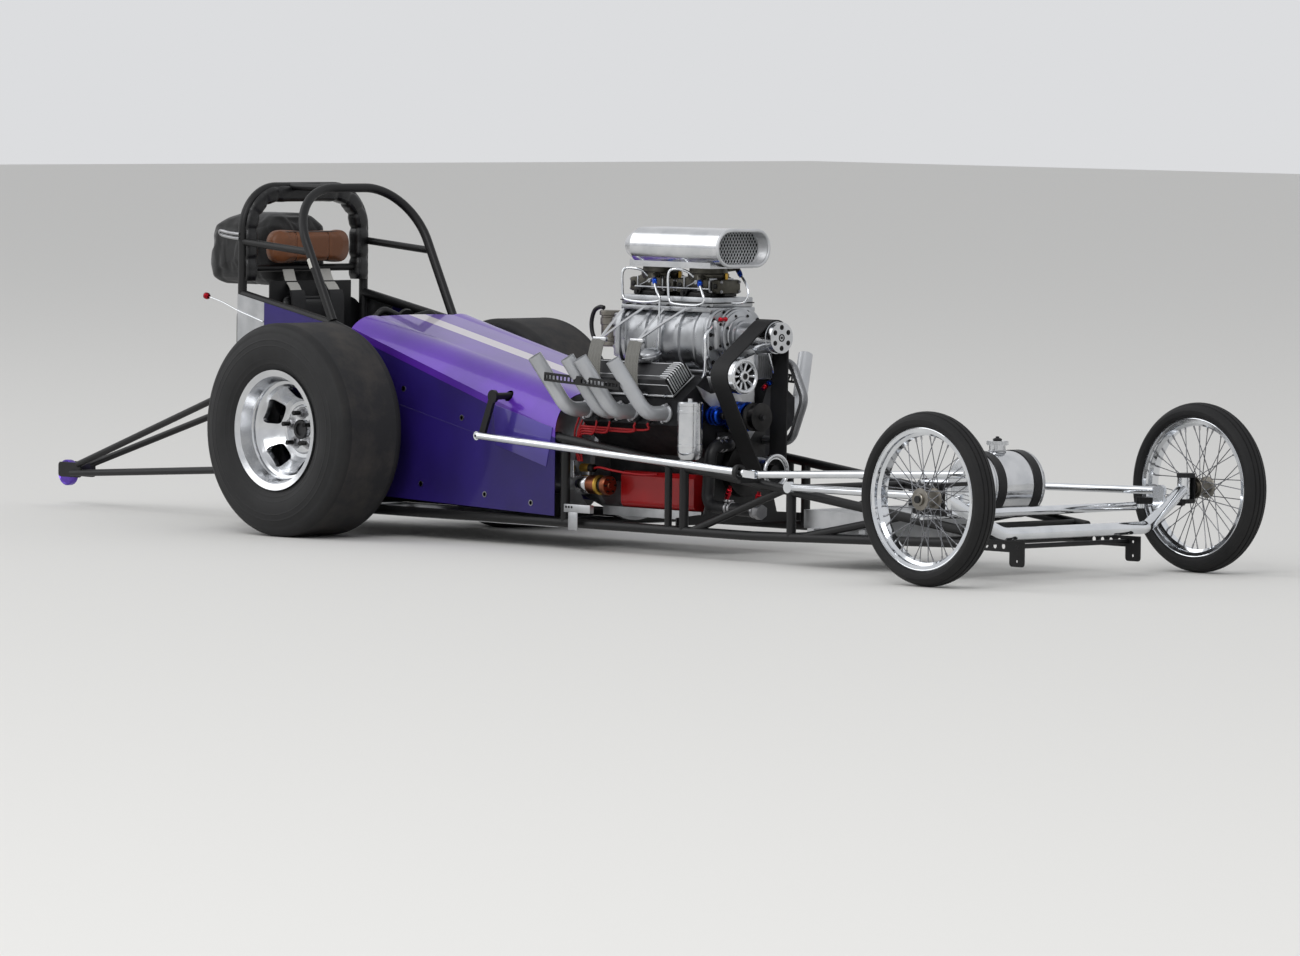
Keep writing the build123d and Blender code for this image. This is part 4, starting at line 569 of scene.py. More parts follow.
# front wire wheel: rolled rim and flanged hub in millimetres, laced spokes and their nipples in metres
frontWheel = {
    "rim": ((229, -32, -26.5), (216, -26.5, -16), (206, -9, 9), (216, 16, 26.5), (229, 26.5, 32), (213, 30, 18),
            (203, 10.5, -10.5), (213, -18, -30)),
    "hub": ((12.05, -49), (18, -49), (20, -47, -40), (35, -39), (36, -38, -35), (35, -34), (22, -30), (20, -22), (21, 8),
            (25, 18), (35, 22), (36, 23, 26), (35, 27), (25, 27, 34), (12.05, 34)),
    "bead": (0.2265, 0.0305, 0.0028), "spokes": 40, "lacing": 54, "holeRadius": 0.031, "holes": (0.0245, -0.0365),
    "head": (0.2045, 0.003), "spokeRadius": 0.0016, "nippleRadius": 0.003, "nippleLength": 0.016,
}
# wheel nuts on the rear wheel's five studs: circle, stand-off, half width across the nut
rearNuts = {"count": 5, "circle": 0.057, "stand": 0.0055, "size": 0.0155}
# faces of the rear wheel: the brake disc, the hub's cap and the ring under the nuts
rearFaces = {"disc": 0.452, "cap": (0.5235, 0.0345), "nutRing": (0.5205, 0.04, 0.073)}
nutRingY, nutRingInner, nutRingOuter = rearFaces["nutRing"]
rearLooks = (
    (lambda x, y, z: abs(y) < rearFaces["disc"], "machinedSteel"),
    (lambda x, y, z: abs(y) > rearFaces["cap"][0] and fromAxle(x, z) < rearFaces["cap"][1], "blackCrinklePaint"),
    (lambda x, y, z: abs(y) > nutRingY and nutRingInner < fromAxle(x, z) < nutRingOuter, "darkSteel"),
)


def fromAxle(x, z):
    return math.hypot(x, z - rearHub[2])


def sideHub(hub, side):
    return (hub[0], side * hub[1], hub[2])


def wheelPlace(side, radius, angle, along):
    return (frontHub[0] + radius * math.cos(angle), side * frontHub[1] - side * along,
            frontHub[2] + radius * math.sin(angle))


for side, way in ((-1, "right"), (1, "left")):
    bm = bmesh.new()
    addSlick(bm, side)
    finishPiece(f"slickTyre_{way}", bm, ("slickRubber", "slickTread", "scuffedTread"), "rear_axle",
                (f"rear_tyre_{way}",))
    bm = bmesh.new()
    addFrontTyre(bm, side)
    frontBody = f"front_wheel_body_{way}"
    finishPiece(f"frontTyre_{way}", bm, ("tyreRubber",), frontBody, (f"front_tyre_{way}",), 24)
    bm = bmesh.new()
    addTurned(bm, frontWheel["rim"], sideHub(frontHub, side), (0, -side, 0), 0, 128, True)
    addTurned(bm, frontWheel["hub"], sideHub(frontHub, side), (0, -side, 0), 1, 48, True)
    radius, along, thick = frontWheel["bead"]
    for along in (-along, along):
        addTube(bm, [wheelPlace(side, radius, 2 * math.pi * i / 128, along) for i in range(128)], thick, 0, 8, True)
    finishPiece(f"wireWheel_{way}", bm, ("chromePlate", "agedAluminium"), frontBody, (f"front_wheel_{way}",))
    spokeLines, nippleLines = [], []
    for number in range(frontWheel["spokes"]):
        rimAngle = 2 * math.pi / frontWheel["spokes"] * number
        lean = 1 if (number // 2) % 2 else -1
        outer = number % 2
        foot = Vector(wheelPlace(side, frontWheel["holeRadius"], rimAngle - lean * math.radians(frontWheel["lacing"]),
                                 frontWheel["holes"][outer]))
        head = Vector(wheelPlace(side, frontWheel["head"][0], rimAngle, frontWheel["head"][1] * (-1 if outer else 1)))
        spokeLines.append((foot, head))
        nippleLines.append((head + (foot - head).normalized() * frontWheel["nippleLength"], head))
    wires(f"spokes_{way}", spokeLines, frontWheel["spokeRadius"], "spokeSteel", frontBody)
    wires(f"nipples_{way}", nippleLines, frontWheel["nippleRadius"], "machinedSteel", frontBody, 6)
    studs = ringPoints((0, side * (rearHub[1] + rearNuts["stand"]), rearHub[2]), rearNuts["circle"], "y",
                       rearNuts["count"], 0.25)
    bolts(f"wheelNuts_{way}", [(stud, (0, side, 0), rearNuts["size"]) for stud in studs], "machinedSteel",
          "rear_axle")
    paintFaces(f"rear_wheel_{way}", rearLooks)
print("wheels ready")


def addPillow(bm, outline, place, across, up, depth, bulge, rings=7):
    # closed cushion from a 2-D outline: both faces swell from a seam round the middle
    across, up = Vector(across).normalized(), Vector(up).normalized()
    normal = across.cross(up)
    base = toFrame(place)
    layers = []
    for k in range(-rings, rings + 1):
        share = abs(k) / rings
        shrink = 1 - share ** bulge * 0.999 if abs(k) == rings else (1 - share ** bulge) ** (1 / bulge)
        height = depth / 2 * math.sin(share * math.pi / 2) * (1 if k > 0 else -1)
        layers.append((max(shrink, 0.0), height))
    loops = []
    for shrink, height in layers:
        if shrink < 0.02:
            loops.append([bm.verts.new(base + normal * height)])
        else:
            loops.append([bm.verts.new(base + across * a * shrink + up * b * shrink + normal * height)
                          for a, b in outline])
    skinRings(bm, loops, capped=False)


def puffUp(bm, pad):
    # remeshes a rough pad, blows it up a little with Cloth, limits how far a point moves, smooths it
    bmesh.ops.recalc_face_normals(bm, faces=bm.faces[:])
    mesh = bpy.data.meshes.new("padMesh")
    bm.to_mesh(mesh)
    bm.free()
    holder = bpy.data.objects.new("padHolder", mesh)
    bpy.context.scene.collection.objects.link(holder)
    remesh = holder.modifiers.new("remesh", "REMESH")
    remesh.mode = "VOXEL"
    remesh.voxel_size = pad["voxel"]
    mesh = bpy.data.meshes.new_from_object(holder.evaluated_get(bpy.context.evaluated_depsgraph_get()))
    holder.modifiers.clear()
    holder.data = mesh
    rest = [vertex.co.copy() for vertex in mesh.vertices]
    cloth = holder.modifiers.new("cloth", "CLOTH")
    cloth.settings.use_pressure = True
    cloth.settings.uniform_pressure_force = pad["pressure"]
    cloth.settings.effector_weights.gravity = 0
    cloth.settings.quality = 4
    scene = bpy.context.scene
    for number in range(1, 21):
        scene.frame_set(number)
    blown = bpy.data.meshes.new_from_object(holder.evaluated_get(bpy.context.evaluated_depsgraph_get()))
    holder.modifiers.clear()
    for vertex, start in zip(blown.vertices, rest):
        step = vertex.co - start
        if step.length > pad["cap"]:
            vertex.co = start + step.normalized() * pad["cap"]
    scene.frame_set(1)
    holder.data = blown
    smooth = holder.modifiers.new("smooth", "SMOOTH")
    smooth.iterations = 6
    finer = holder.modifiers.new("finer", "SUBSURF")
    finer.levels = finer.render_levels = 1
    made = bpy.data.meshes.new_from_object(holder.evaluated_get(bpy.context.evaluated_depsgraph_get()))
    bpy.data.objects.remove(holder)
    made.shade_smooth()
    return made


def sewChannels(mesh, distance, width, depth, facing):
    # presses stitched channels into a pad; distance says how far a place is from the nearest channel
    facing = Vector(facing)
    normals = [vertex.normal.copy() for vertex in mesh.vertices]
    for vertex, normal in zip(mesh.vertices, normals):
        if normal.dot(facing) > 0.35:
            near = distance(vertex.co.x + middleX, vertex.co.y, vertex.co.z)
            vertex.co -= facing * depth * math.exp(-(near / width) ** 2)


def addStrap(bm, points, widths, thickness, look=0):
    # flat webbing: points along it and, for each, the direction across it times its half width
    spots = [toFrame(p) for p in points]
    rings = []
    for i, spot in enumerate(spots):
        along = (spots[min(i + 1, len(spots) - 1)] - spots[max(i - 1, 0)]).normalized()
        across = Vector(widths[i])
        normal = across.cross(along).normalized() * thickness / 2
        rings.append([bm.verts.new(spot + a * across + b * normal) for a, b in ((-1, -1), (-1, 1), (-0.33, 1), (0.33, 1),
                      (1, 1), (1, -1), (0.33, -1), (-0.33, -1))])
    skinRings(bm, rings, look)


# padding along the inside of the rear hoop: stuffed lengths with a pinched seam between them
hoopPad = {"x": -0.598, "y": 0.2598, "low": 0.862, "top": 1.168, "bend": 0.126, "half": 0.029, "power": 3.4,
           "tubeOffset": 0.024, "tubeRadius": 0.0166, "stations": 220, "piping": 0.0019,
           "lengths": (0.075, 0.105, 0.062, 0.066, 0.062, 0.2756, 0.062, 0.066, 0.062, 0.105, 0.075),
           "pinch": 0.87, "pinchHalf": 0.01, "swell": 0.045}


def hoopStation(along):
    # place on the padding's centre line and the direction outwards, towards the tube
    s = hoopPad
    upright = s["top"] - s["bend"] - s["low"]
    quarter = math.pi / 2 * s["bend"]
    flat = 2 * (s["y"] - s["bend"])
    total = 2 * upright + 2 * quarter + flat
    side = -1  # right side first
    if along > total / 2:
        along, side = total - along, 1
    if along < upright:
        return (s["x"], side * s["y"], s["low"] + along), Vector((0, side, 0))
    along -= upright
    if along < quarter:
        angle = along / s["bend"]
        out = Vector((0, side * math.cos(angle), math.sin(angle)))
        return (s["x"], side * (s["y"] - s["bend"]) + s["bend"] * out.y, s["top"] - s["bend"] + s["bend"] * out.z), out
    along -= quarter
    return (s["x"], side * (s["y"] - s["bend"] - along), s["top"]), Vector(aloft)


def hoopSection(fullness):
    # cross-section of the padding in outward and x directions, hollowed for the tube
    s = hoopPad
    points = []
    for i in range(29):
        angle = math.radians(38 + (322 - 38) * i / 28)
        c, d = math.cos(angle), math.sin(angle)
        reach = s["half"] * fullness / (abs(c) ** s["power"] + abs(d) ** s["power"]) ** (1 / s["power"])
        points.append((reach * c, reach * d))
    for i in range(1, 12):
        angle = math.radians(-112 + 224 * i / 12)
        points.append((s["tubeOffset"] - s["tubeRadius"] * math.cos(angle), s["tubeRadius"] * math.sin(angle)))
    return points


hoopTotal = 2 * (hoopPad["top"] - hoopPad["bend"] - hoopPad["low"] + hoopPad["y"] - hoopPad["bend"])
hoopTotal += math.pi * hoopPad["bend"]
joins = [0]
for length in hoopPad["lengths"]:
    joins.append(joins[-1] + length * hoopTotal / sum(hoopPad["lengths"]))
bm = bmesh.new()
rings, pipes = [], {8: [], 20: []}
for i in range(hoopPad["stations"] + 1):
    along = hoopTotal * i / hoopPad["stations"]
    near = min(abs(along - join) for join in joins)
    fullness = 1 - (1 - hoopPad["pinch"]) * math.exp(-(near / hoopPad["pinchHalf"]) ** 2)
    fullness += hoopPad["swell"] * math.sin(math.pi * min(near / 0.05, 1))
    (px, py, pz), out = hoopStation(min(max(along, 1e-5), hoopTotal - 1e-5))
    ring = [(px + b, py + out.y * a, pz + out.z * a) for a, b in hoopSection(fullness)]
    rings.append([bm.verts.new(toFrame(p)) for p in ring])
    for k, pipe in pipes.items():
        pipe.append(ring[k])
skinRings(bm, rings)
for pipe in pipes.values():
    addTube(bm, pipe, hoopPad["piping"], 0, 6)
finishPiece("hoopPadding", bm, ("blackVinyl",), replaced=("hoop_padding",), angle=60)

# headrest: brown leather pillow with black piping round its face
headrest = {"place": (-0.576, 0, 0.9815), "halfWidth": 0.185, "halfHeight": 0.0585, "depth": 0.06, "voxel": 0.005,
            "pressure": 4, "cap": 0.006, "seam": 0.075}
bm = bmesh.new()
addPillow(bm, roundedOutline(headrest["halfWidth"], headrest["halfHeight"], 0.045, 8), headrest["place"], (0, 1, 0),
          aloft, headrest["depth"], 3.2)
mesh = puffUp(bm, headrest)
sewChannels(mesh, lambda x, y, z: abs(abs(y) - headrest["seam"]), 0.005, 0.005, ahead)
finishPiece("headrestPad", mesh, ("brownLeather",), replaced=("headrest",))
bm = bmesh.new()
headX, _, headZ = headrest["place"]
edge = roundedOutline(headrest["halfWidth"] * 0.93, headrest["halfHeight"] * 0.86, 0.04, 8)
addTube(bm, [(headX + 0.0165, a, headZ + b) for a, b in edge], 0.0028, 0, 8, True)
for y in (-headrest["seam"], headrest["seam"]):
    # the piping in the sewn channels follows the pillow's crown
    heights = (-0.046, -0.03, -0.01, 0.01, 0.03, 0.046)
    addTube(bm, [(headX + 0.0275 - 0.01 * (z / 0.058) ** 4, y, headZ + z) for z in heights], 0.0016, 0, 8)
finishPiece("headrestPiping", bm, ("blackVinyl",))

# seat cushion and back pad: black vinyl with channels sewn at an even pitch
for name, pad in (
    ("seatCushion", {
        "place": (-0.412, 0, 0.246), "half": (0.142, 0.146), "ways": (ahead, (0, 1, 0)), "depth": 0.026, "voxel": 0.005,
        "pressure": 4, "cap": 0.006, "facing": aloft, "along": 1, "shift": 0.15, "pitch": 0.06,
        "replaced": ("seat_padding",)}),
    ("seatBackPad", {
        "place": (-0.5445, 0, 0.541), "half": (0.146, 0.272), "ways": ((0, 1, 0), aloft), "depth": 0.02, "voxel": 0.005,
        "pressure": 3, "cap": 0.004, "facing": ahead, "along": 2, "shift": 0.01, "pitch": 0.07, "replaced": ()}),
):
    bm = bmesh.new()
    addPillow(bm, roundedOutline(*pad["half"], 0.03), pad["place"], *pad["ways"], pad["depth"], 5)
    mesh = puffUp(bm, pad)
    along, shift, pitch = pad["along"], pad["shift"], pad["pitch"]
    sewChannels(mesh, lambda *spot: abs((spot[along] + shift) % pitch - pitch / 2), 0.004, 0.004, pad["facing"])
    finishPiece(name, mesh, ("blackVinyl",), replaced=pad["replaced"])

# parachute pack: stuffed nylon bag that sags to the rear; each layer is its height, rear edge and half width
chute = {"layers": ((0.848, -0.945, 0.12), (0.862, -0.966, 0.14), (0.905, -0.97, 0.146), (0.96, -0.966, 0.146),
                    (1.015, -0.958, 0.143), (1.05, -0.945, 0.136), (1.076, -0.905, 0.118), (1.09, -0.85, 0.095)),
         "front": -0.6165, "flap": 1.06, "voxel": 0.006, "pressure": 4, "cap": 0.007, "creases": 16, "foldDepth": 0.0035}
bm = bmesh.new()
loops = []
for z, rear, halfWidth in chute["layers"]:
    front = chute["front"] - (0.02 if z > chute["flap"] else 0)
    middle, reach = (rear + front) / 2, (front - rear) / 2
    loops.append([bm.verts.new(toFrame((middle + a, b, z))) for a, b in roundedOutline(reach, halfWidth, 0.045, 6)])
skinRings(bm, loops)
mesh = puffUp(bm, chute)
random.seed(7)
creases = [(random.uniform(-0.15, 0.15), random.uniform(0.88, 1.06), random.uniform(-0.5, 0.5))
           for _ in range(chute["creases"])]
normals = [vertex.normal.copy() for vertex in mesh.vertices]
for vertex, normal in zip(mesh.vertices, normals):
    # slack nylon: shallow folds that run mostly downwards, on the rear and round the sides
    x, across, up = vertex.co.x + middleX + 0.79, vertex.co.y, vertex.co.z
    fold = 0
    for y, z, slope in creases:
        height = math.exp(-((up - z) / 0.05) ** 2)
        fold += height * math.exp(-((across - y - slope * (up - z)) / 0.01) ** 2)
        fold += height * math.exp(-((x + y - slope * (up - z)) / 0.012) ** 2)
    vertex.co -= normal * chute["foldDepth"] * min(fold, 1.2)
finishPiece("parachutePack", mesh, ("blackNylon",), replaced=("parachute_pack",))
print("pads ready")

# belts: shoulder belts with sewn pads over the seat back, lap belts and a round latch on the cushion
belts = {"halfWidth": 0.025, "thickness": 0.003, "latch": (-0.395, 0, 0.292)}
bm = bmesh.new()
for side in (-1, 1):
    lapSide = side * 0.145
    shoulder = smoothLine([(-0.583, side * 0.085, 0.9), (-0.566, side * 0.087, 0.862), (-0.542, side * 0.089, 0.838),
                           (-0.524, side * 0.09, 0.8), (-0.522, side * 0.088, 0.7), (-0.519, side * 0.08, 0.56),
                           (-0.512, side * 0.062, 0.43), (-0.478, side * 0.036, 0.345), (-0.425, side * 0.012, 0.3)], 5)
    acrossWay = [(0, belts["halfWidth"], side * -0.004 * max(0, (0.6 - p[2]) * 6)) for p in shoulder]
    addStrap(bm, shoulder, acrossWay, belts["thickness"], 1)
    cover = [p + Vector((0.0035, 0, 0)) for p in shoulder if 0.6 < p[2] < 0.83]
    addStrap(bm, cover, [(0, belts["halfWidth"] * 1.25, 0)] * len(cover), 0.008, 0)
    lap = smoothLine([(-0.5, lapSide, 0.27), (-0.47, lapSide * 0.93, 0.282), (-0.43, lapSide * 0.55, 0.288),
                      (-0.402, side * 0.03, 0.291)], 5)
    addStrap(bm, lap, [(0.018, 0, 0.016)] * len(lap), belts["thickness"], 0)
finishPiece("harnessBelts", bm, ("blackWebbing", "whiteWebbing"), replaced=("harness",))
bm = bmesh.new()
addTurned(bm, ((31, 0), (33, 3, 12), (29, 16), (10, 18)), belts["latch"], (0.35, 0, 1), 0, 32)
for side in (-1, 1):
    addBox(bm, (-0.5245, side * 0.088 - 0.029, 0.59), (-0.514, side * 0.088 + 0.029, 0.606), 0, 0.002)
finishPiece("beltLatch", bm, ("chromePlate",))
print("belts ready")


def addLoft(bm, stations):
    # closed skin through cross-sections: each is x and the y, z outline there
    skinRings(bm, [[bm.verts.new(toFrame((x, y, z))) for y, z in outline] for x, outline in stations])


def squircle(halfWidth, halfHeight, middleZ, power=2.8, count=64, phase=0):
    outline = []
    for i in range(count):
        angle = 2 * math.pi * (i + phase) / count
        c, s = math.cos(angle), math.sin(angle)
        reach = 1 / (abs(c) ** power + abs(s) ** power) ** (1 / power)
        outline.append((halfWidth * reach * c, middleZ + halfHeight * reach * s))
    return outline


# blower: satin case with raised bands, bolted covers, bearing nose and drive snout
blower = {"rear": 1.175, "front": 1.56, "halfWidth": 0.123, "halfHeight": 0.106, "middle": 0.719, "noseZ": 0.737,
          "bands": ((1.19, 1.204, 0.006), (1.286, 1.302, 0.006), (1.358, 1.37, 0.004), (1.448, 1.466, 0.007),
                    (1.526, 1.536, 0.004))}


def caseSection(x, grow, power=2.8):
    return x, squircle(blower["halfWidth"] + grow, blower["halfHeight"] + grow, blower["middle"], power)


bm = bmesh.new()
rises = [(blower["rear"], 0)]
for start, end, rise in blower["bands"]:
    rises += [(start - 0.003, 0), (start, rise), (end, rise), (end + 0.003, 0)]
addLoft(bm, [caseSection(x, rise) for x, rise in rises + [(blower["front"], 0)]])
for cover in (
    ((1.156, 0.002), (1.159, 0.006), (1.176, 0.006), (1.178, 0.004)),
    ((1.557, 0.004), (1.56, 0.01), (1.59, 0.01), (1.594, 0.006), (1.604, 0.006), (1.607, 0.001), (1.612, 0)),
):
    addLoft(bm, [caseSection(x, grow, 3.2) for x, grow in cover])
addTurned(bm, ((96, 0, 10), (92, 12), (90, 19), (84, 21, 28), (78, 31), (66, 32), (64, 36), (52, 38), (50, 46), (44, 48),
               (42, 110)), (1.61, 0, blower["noseZ"]), ahead, 0, 72)
addBox(bm, (1.16, -0.104, 0.815), (1.598, 0.104, 0.8318), 0, 0.003)
addBox(bm, (1.17, -0.1, 0.6062), (1.59, 0.1, 0.622), 0, 0.003)
addBox(bm, (1.604, -0.108, 0.69), (1.634, -0.074, 0.792), 1, 0.008)
addTube(bm, [(1.6, -0.1, 0.664), (1.605, -0.118, 0.665), (1.612, -0.135, 0.668)], 0.006, 0, 12)
addBox(bm, (1.204, -0.094, 0.4806), (1.618, 0.094, 0.6055), 1, 0.012)
for side in (-1, 1):
    for x in (1.225, 1.325, 1.425, 1.525):
        runner = smoothLine([(x, side * 0.08, 0.56), (x, side * 0.115, 0.545), (x, side * 0.138, 0.512)], 4)
        addTube(bm, runner, 0.024, 1, 16)
finishPiece("blowerCase", bm, ("satinAluminium", "castAluminium"), replaced=("supercharger",), angle=30)
rows = []
for y, z in squircle(0.116, 0.099, blower["middle"], 3.2, 14, 0.5):
    rows += [((1.6115, y, z), ahead, 0.0052), ((1.1565, y, z), (-1, 0, 0), 0.0052)]
rows += [(spot, ahead, 0.0042) for spot in ringPoints((1.6405, 0, blower["noseZ"]), 0.0715, "x", 8, 0.5)]
rows += [((1.185 + 0.049 * i, y, 0.8318), aloft, 0.0045) for i in range(9) for y in (-0.0965, 0.0965)]
rows += [((1.634, -0.091, z), ahead, 0.004) for z in (0.777, 0.705)]
bolts("blowerBolts", rows, "darkSteel")
bm = bmesh.new()
addTurned(bm, ((8, 0, 6), (6.5, 7), (7.5, 32), (5, 34)), (1.64, -0.072, 0.794), (0.1, -1, 0), 0, 20)
finishPiece("blowerPlug", bm, ("redAnodised",))
print("blower ready")

# carburettors: dull castings on a satin adapter, with float bowls and levers
carb = {"places": (1.25, 1.478), "low": 0.866, "bowlReach": 0.107}
bm = bmesh.new()
addBox(bm, (1.152, -0.094, 0.8322), (1.598, 0.094, 0.8655), 1, 0.004)
addBox(bm, (1.148, -0.097, 0.8445), (1.602, 0.097, 0.8485), 2, 0.001)
screws = []
for x in carb["places"]:
    z = carb["low"]
    for halfX, halfY, low, high, look, bevel in (
        (0.074, 0.062, 0, 0.014, 2, 0.003), (0.06, 0.057, 0.014, 0.022, 2, 0.002), (0.056, 0.058, 0.022, 0.066, 0, 0.007),
    ):
        addBox(bm, (x - halfX, -halfY, z + low), (x + halfX, halfY, z + high), look, bevel)
    addTurned(bm, ((52, 55), (66, 55), (69, 64), (70, 74), (66, 78), (64, 95.5), (52, 95.5)), (x, 0, z), aloft, 0, 48,
              True)
    for rx, ry, rz in ringPoints((x, 0, z), 0.062, "z", 8, 0.5):
        # ribs under the air horn
        ry *= 0.06 / 0.062
        addBox(bm, (rx - 0.004, ry - 0.004, rz + 0.04), (rx + 0.004, ry + 0.004, rz + 0.07), 0, 0.001)
    for way in (-1, 1):
        near, far = sorted((x + way * 0.058, x + way * 0.064))
        addBox(bm, (near, -0.056, z + 0.006), (far, 0.056, z + 0.062), 1, 0.001)
        near, far = sorted((x + way * 0.0645, x + way * carb["bowlReach"]))
        addBox(bm, (near, -0.05, z + 0.01), (far, 0.05, z + 0.058), 0, 0.008)
        addBox(bm, (near + 0.006, -0.024, z + 0.001), (far - 0.002, 0.024, z + 0.01), 2, 0.003)
        addTurned(bm, ((9, 0, 4), (6, 6)), (x + way * 0.086, -0.0495, z + 0.036), (0, -1, 0), 2, 20)
        addTurned(bm, ((6, 0, 22), (4, 24)), (x + way * 0.074, 0.012, z + 0.056), aloft, 3, 16)
        front = x + way * (carb["bowlReach"] - 0.0002)
        screws += [((front, y, z + up), (way, 0, 0), 0.004) for y in (-0.042, 0.042) for up in (0.018, 0.05)]
    # throttle and choke levers on the near side, fuel inlet on the bowl
    addTube(bm, [(x - 0.05, -0.058, z + 0.01), (x - 0.05, -0.074, z + 0.01)], 0.006, 2, 12)
    addPlate(bm, [(-0.01, -0.014), (0.012, -0.01), (0.026, 0.018), (0.016, 0.026), (-0.004, 0.014), (-0.014, 0.004)],
             (x - 0.05, -0.066, z + 0.012), ahead, aloft, 0.003, 2, 0.0006)
    addPlate(bm, [(-0.006, -0.006), (0.01, -0.006), (0.012, 0.03), (0.002, 0.034)], (x + 0.02, -0.064, z + 0.026), ahead,
             aloft, 0.0025, 1, 0.0006)
    addTube(bm, [(x + 0.01, -0.055, z + 0.048), (x + 0.01, -0.07, z + 0.048)], 0.0075, 1, 12)
    choke = smoothLine([(x - 0.036, -0.068, z + 0.032), (x - 0.01, -0.071, z + 0.04), (x + 0.022, -0.068, z + 0.056)], 4)
    addTube(bm, choke, 0.002, 1, 8)
    pump = smoothLine([(x + 0.03, -0.061, z + 0.01), (x + 0.055, -0.068, z + 0.014), (x + 0.08, -0.062, z + 0.006)], 4)
    addTube(bm, pump, 0.003, 2, 8)
    screws += [((x + shift, y, z + 0.014), aloft, 0.005) for y in (-0.0513, 0.0513) for shift in (-0.066, 0.066)]
addTube(bm, [(1.196, -0.073, 0.893), (1.56, -0.073, 0.893)], 0.0032, 1, 10)
finishPiece("carburettorPair", bm, ("carbCasting", "satinAluminium", "darkSteel", "brass"), replaced=("carburettors",),
            angle=30)
bolts("carbScrews", screws, "machinedSteel")

# fuel lines: bent steel tube from blue fittings to the bowls
fuelLines = (
    ((1.34, -0.118, 0.904), (1.363, -0.13, 0.88), (1.378, -0.13, 0.853), (1.35, -0.13, 0.8455), (1.28, -0.13, 0.843),
     (1.215, -0.13, 0.848), (1.196, -0.13, 0.862), (1.192, -0.13, 0.9), (1.193, -0.13, 0.938), (1.205, -0.122, 0.955),
     (1.24, -0.09, 0.95), (1.25, -0.066, 0.93)),
    ((1.378, -0.13, 0.853), (1.377, -0.131, 0.8), (1.375, -0.132, 0.72), (1.37, -0.128, 0.64)),
    ((1.562, -0.118, 0.902), (1.587, -0.13, 0.876), (1.592, -0.13, 0.852), (1.57, -0.13, 0.841), (1.525, -0.13, 0.838),
     (1.445, -0.13, 0.842), (1.424, -0.13, 0.856), (1.418, -0.13, 0.9), (1.419, -0.13, 0.94), (1.432, -0.122, 0.957),
     (1.46, -0.09, 0.952), (1.476, -0.066, 0.932)),
    ((1.604, 0.03, 0.938), (1.64, 0.01, 0.925), (1.668, 0, 0.9), (1.676, -0.005, 0.872), (1.66, -0.01, 0.85),
     (1.615, -0.02, 0.846)),
)
wires("fuelLines", [smoothLine(line, 5) for line in fuelLines], 0.0046, "chromePlate", sides=10)
bm = bmesh.new()
fitting = ((8.5, 0), (9.5, 2, 13), (8, 15, 24), (6.5, 27))
inlet = ((7.5, 0), (8.8, 6, 20), (7, 24))
for place, way in (((1.322, -0.104, 0.921), (0.62, -0.45, -0.6)), ((1.543, -0.104, 0.919), (0.62, -0.45, -0.6)),
                   ((1.588, 0.036, 0.95), (0.75, -0.35, -0.5))):
    addTurned(bm, fitting, place, way, 0, 6)
    back = Vector(place) - Vector(way).normalized() * 0.023
    addTurned(bm, inlet, back, way, 1, 20)
    addTube(bm, [back, back - Vector((0.012, -0.034 if place[1] < 0 else 0.03, 0.004))], 0.008, 1, 14)
finishPiece("fuelFittings", bm, ("blueAnodised", "carbCasting"), angle=25)

# scoop: rolled lip round the mouth and a wire mesh behind it
scoop = {"mouth": 1.645, "middle": 1.031, "half": (0.1195, 0.0595), "mesh": 1.596, "pitch": 0.0135, "wire": 0.0016}
bm = bmesh.new()
lip = roundedOutline(scoop["half"][0], scoop["half"][1], 0.059, 16)
addTube(bm, [(scoop["mouth"], a, scoop["middle"] + b) for a, b in lip], 0.0058, 0, 14, True)
addTube(bm, [(scoop["mesh"], a * 0.985, scoop["middle"] + b * 0.97) for a, b in lip], 0.0035, 0, 8, True)
for i in range(11):
    # rings that make the pale inner wall between the mesh and the lip
    ring = [(scoop["mesh"] + 0.0045 * i, a * 1.004, scoop["middle"] + b * 1.006) for a, b in lip]
    addTube(bm, ring, 0.0032, 0, 6, True)
# dark plate right behind the mesh: painted shade standing in for the dark inside of the scoop
addPlate(bm, [(a * 0.992, b * 0.984) for a, b in lip], (scoop["mesh"] - 0.007, 0, scoop["middle"]), (0, 1, 0), aloft,
         0.002, 1)
finishPiece("scoopLip", bm, ("finAluminium", "blackCrinklePaint"))


def meshLine(offset, lean):
    # a slanting wire cut to the inside of the mouth
    a, b = scoop["half"]
    inside = []
    for i in range(121):
        z = -b + 2 * b * i / 120
        y = offset + lean * z
        flat = a - b
        if (abs(y) <= flat and abs(z) <= b) or math.hypot(abs(y) - flat, z) <= b - 0.002:
            inside.append((scoop["mesh"] + 0.0011 * (1 if lean > 0 else -1), y, scoop["middle"] + z))
    return (inside[0], inside[-1]) if len(inside) > 2 else None


lines = [meshLine(i * scoop["pitch"], lean) for i in range(-16, 17) for lean in (-0.62, 0.62)]
wires("scoopMesh", [line for line in lines if line], scoop["wire"], "finAluminium", sides=6)
print("carburettors and scoop ready")

# valve covers: satin fins over the front edge and satin borders
coverSet = {"low": (-0.262, 0.525), "high": (-0.152, 0.608), "rear": 1.148, "front": 1.579, "height": 0.072,
            "half": 0.054, "finPitch": 0.0104}
across = Vector((0, coverSet["high"][0] - coverSet["low"][0], coverSet["high"][1] - coverSet["low"][1])).normalized()
outward = Vector((0, -across.z, across.y))
coverMiddle = Vector((0, (coverSet["low"][0] + coverSet["high"][0]) / 2, (coverSet["low"][1] + coverSet["high"][1]) / 2))


def onCover(x, v, w, side):
    spot = coverMiddle + across * v + outward * (w + 0.0003)
    return (x, -side * spot.y, spot.z)


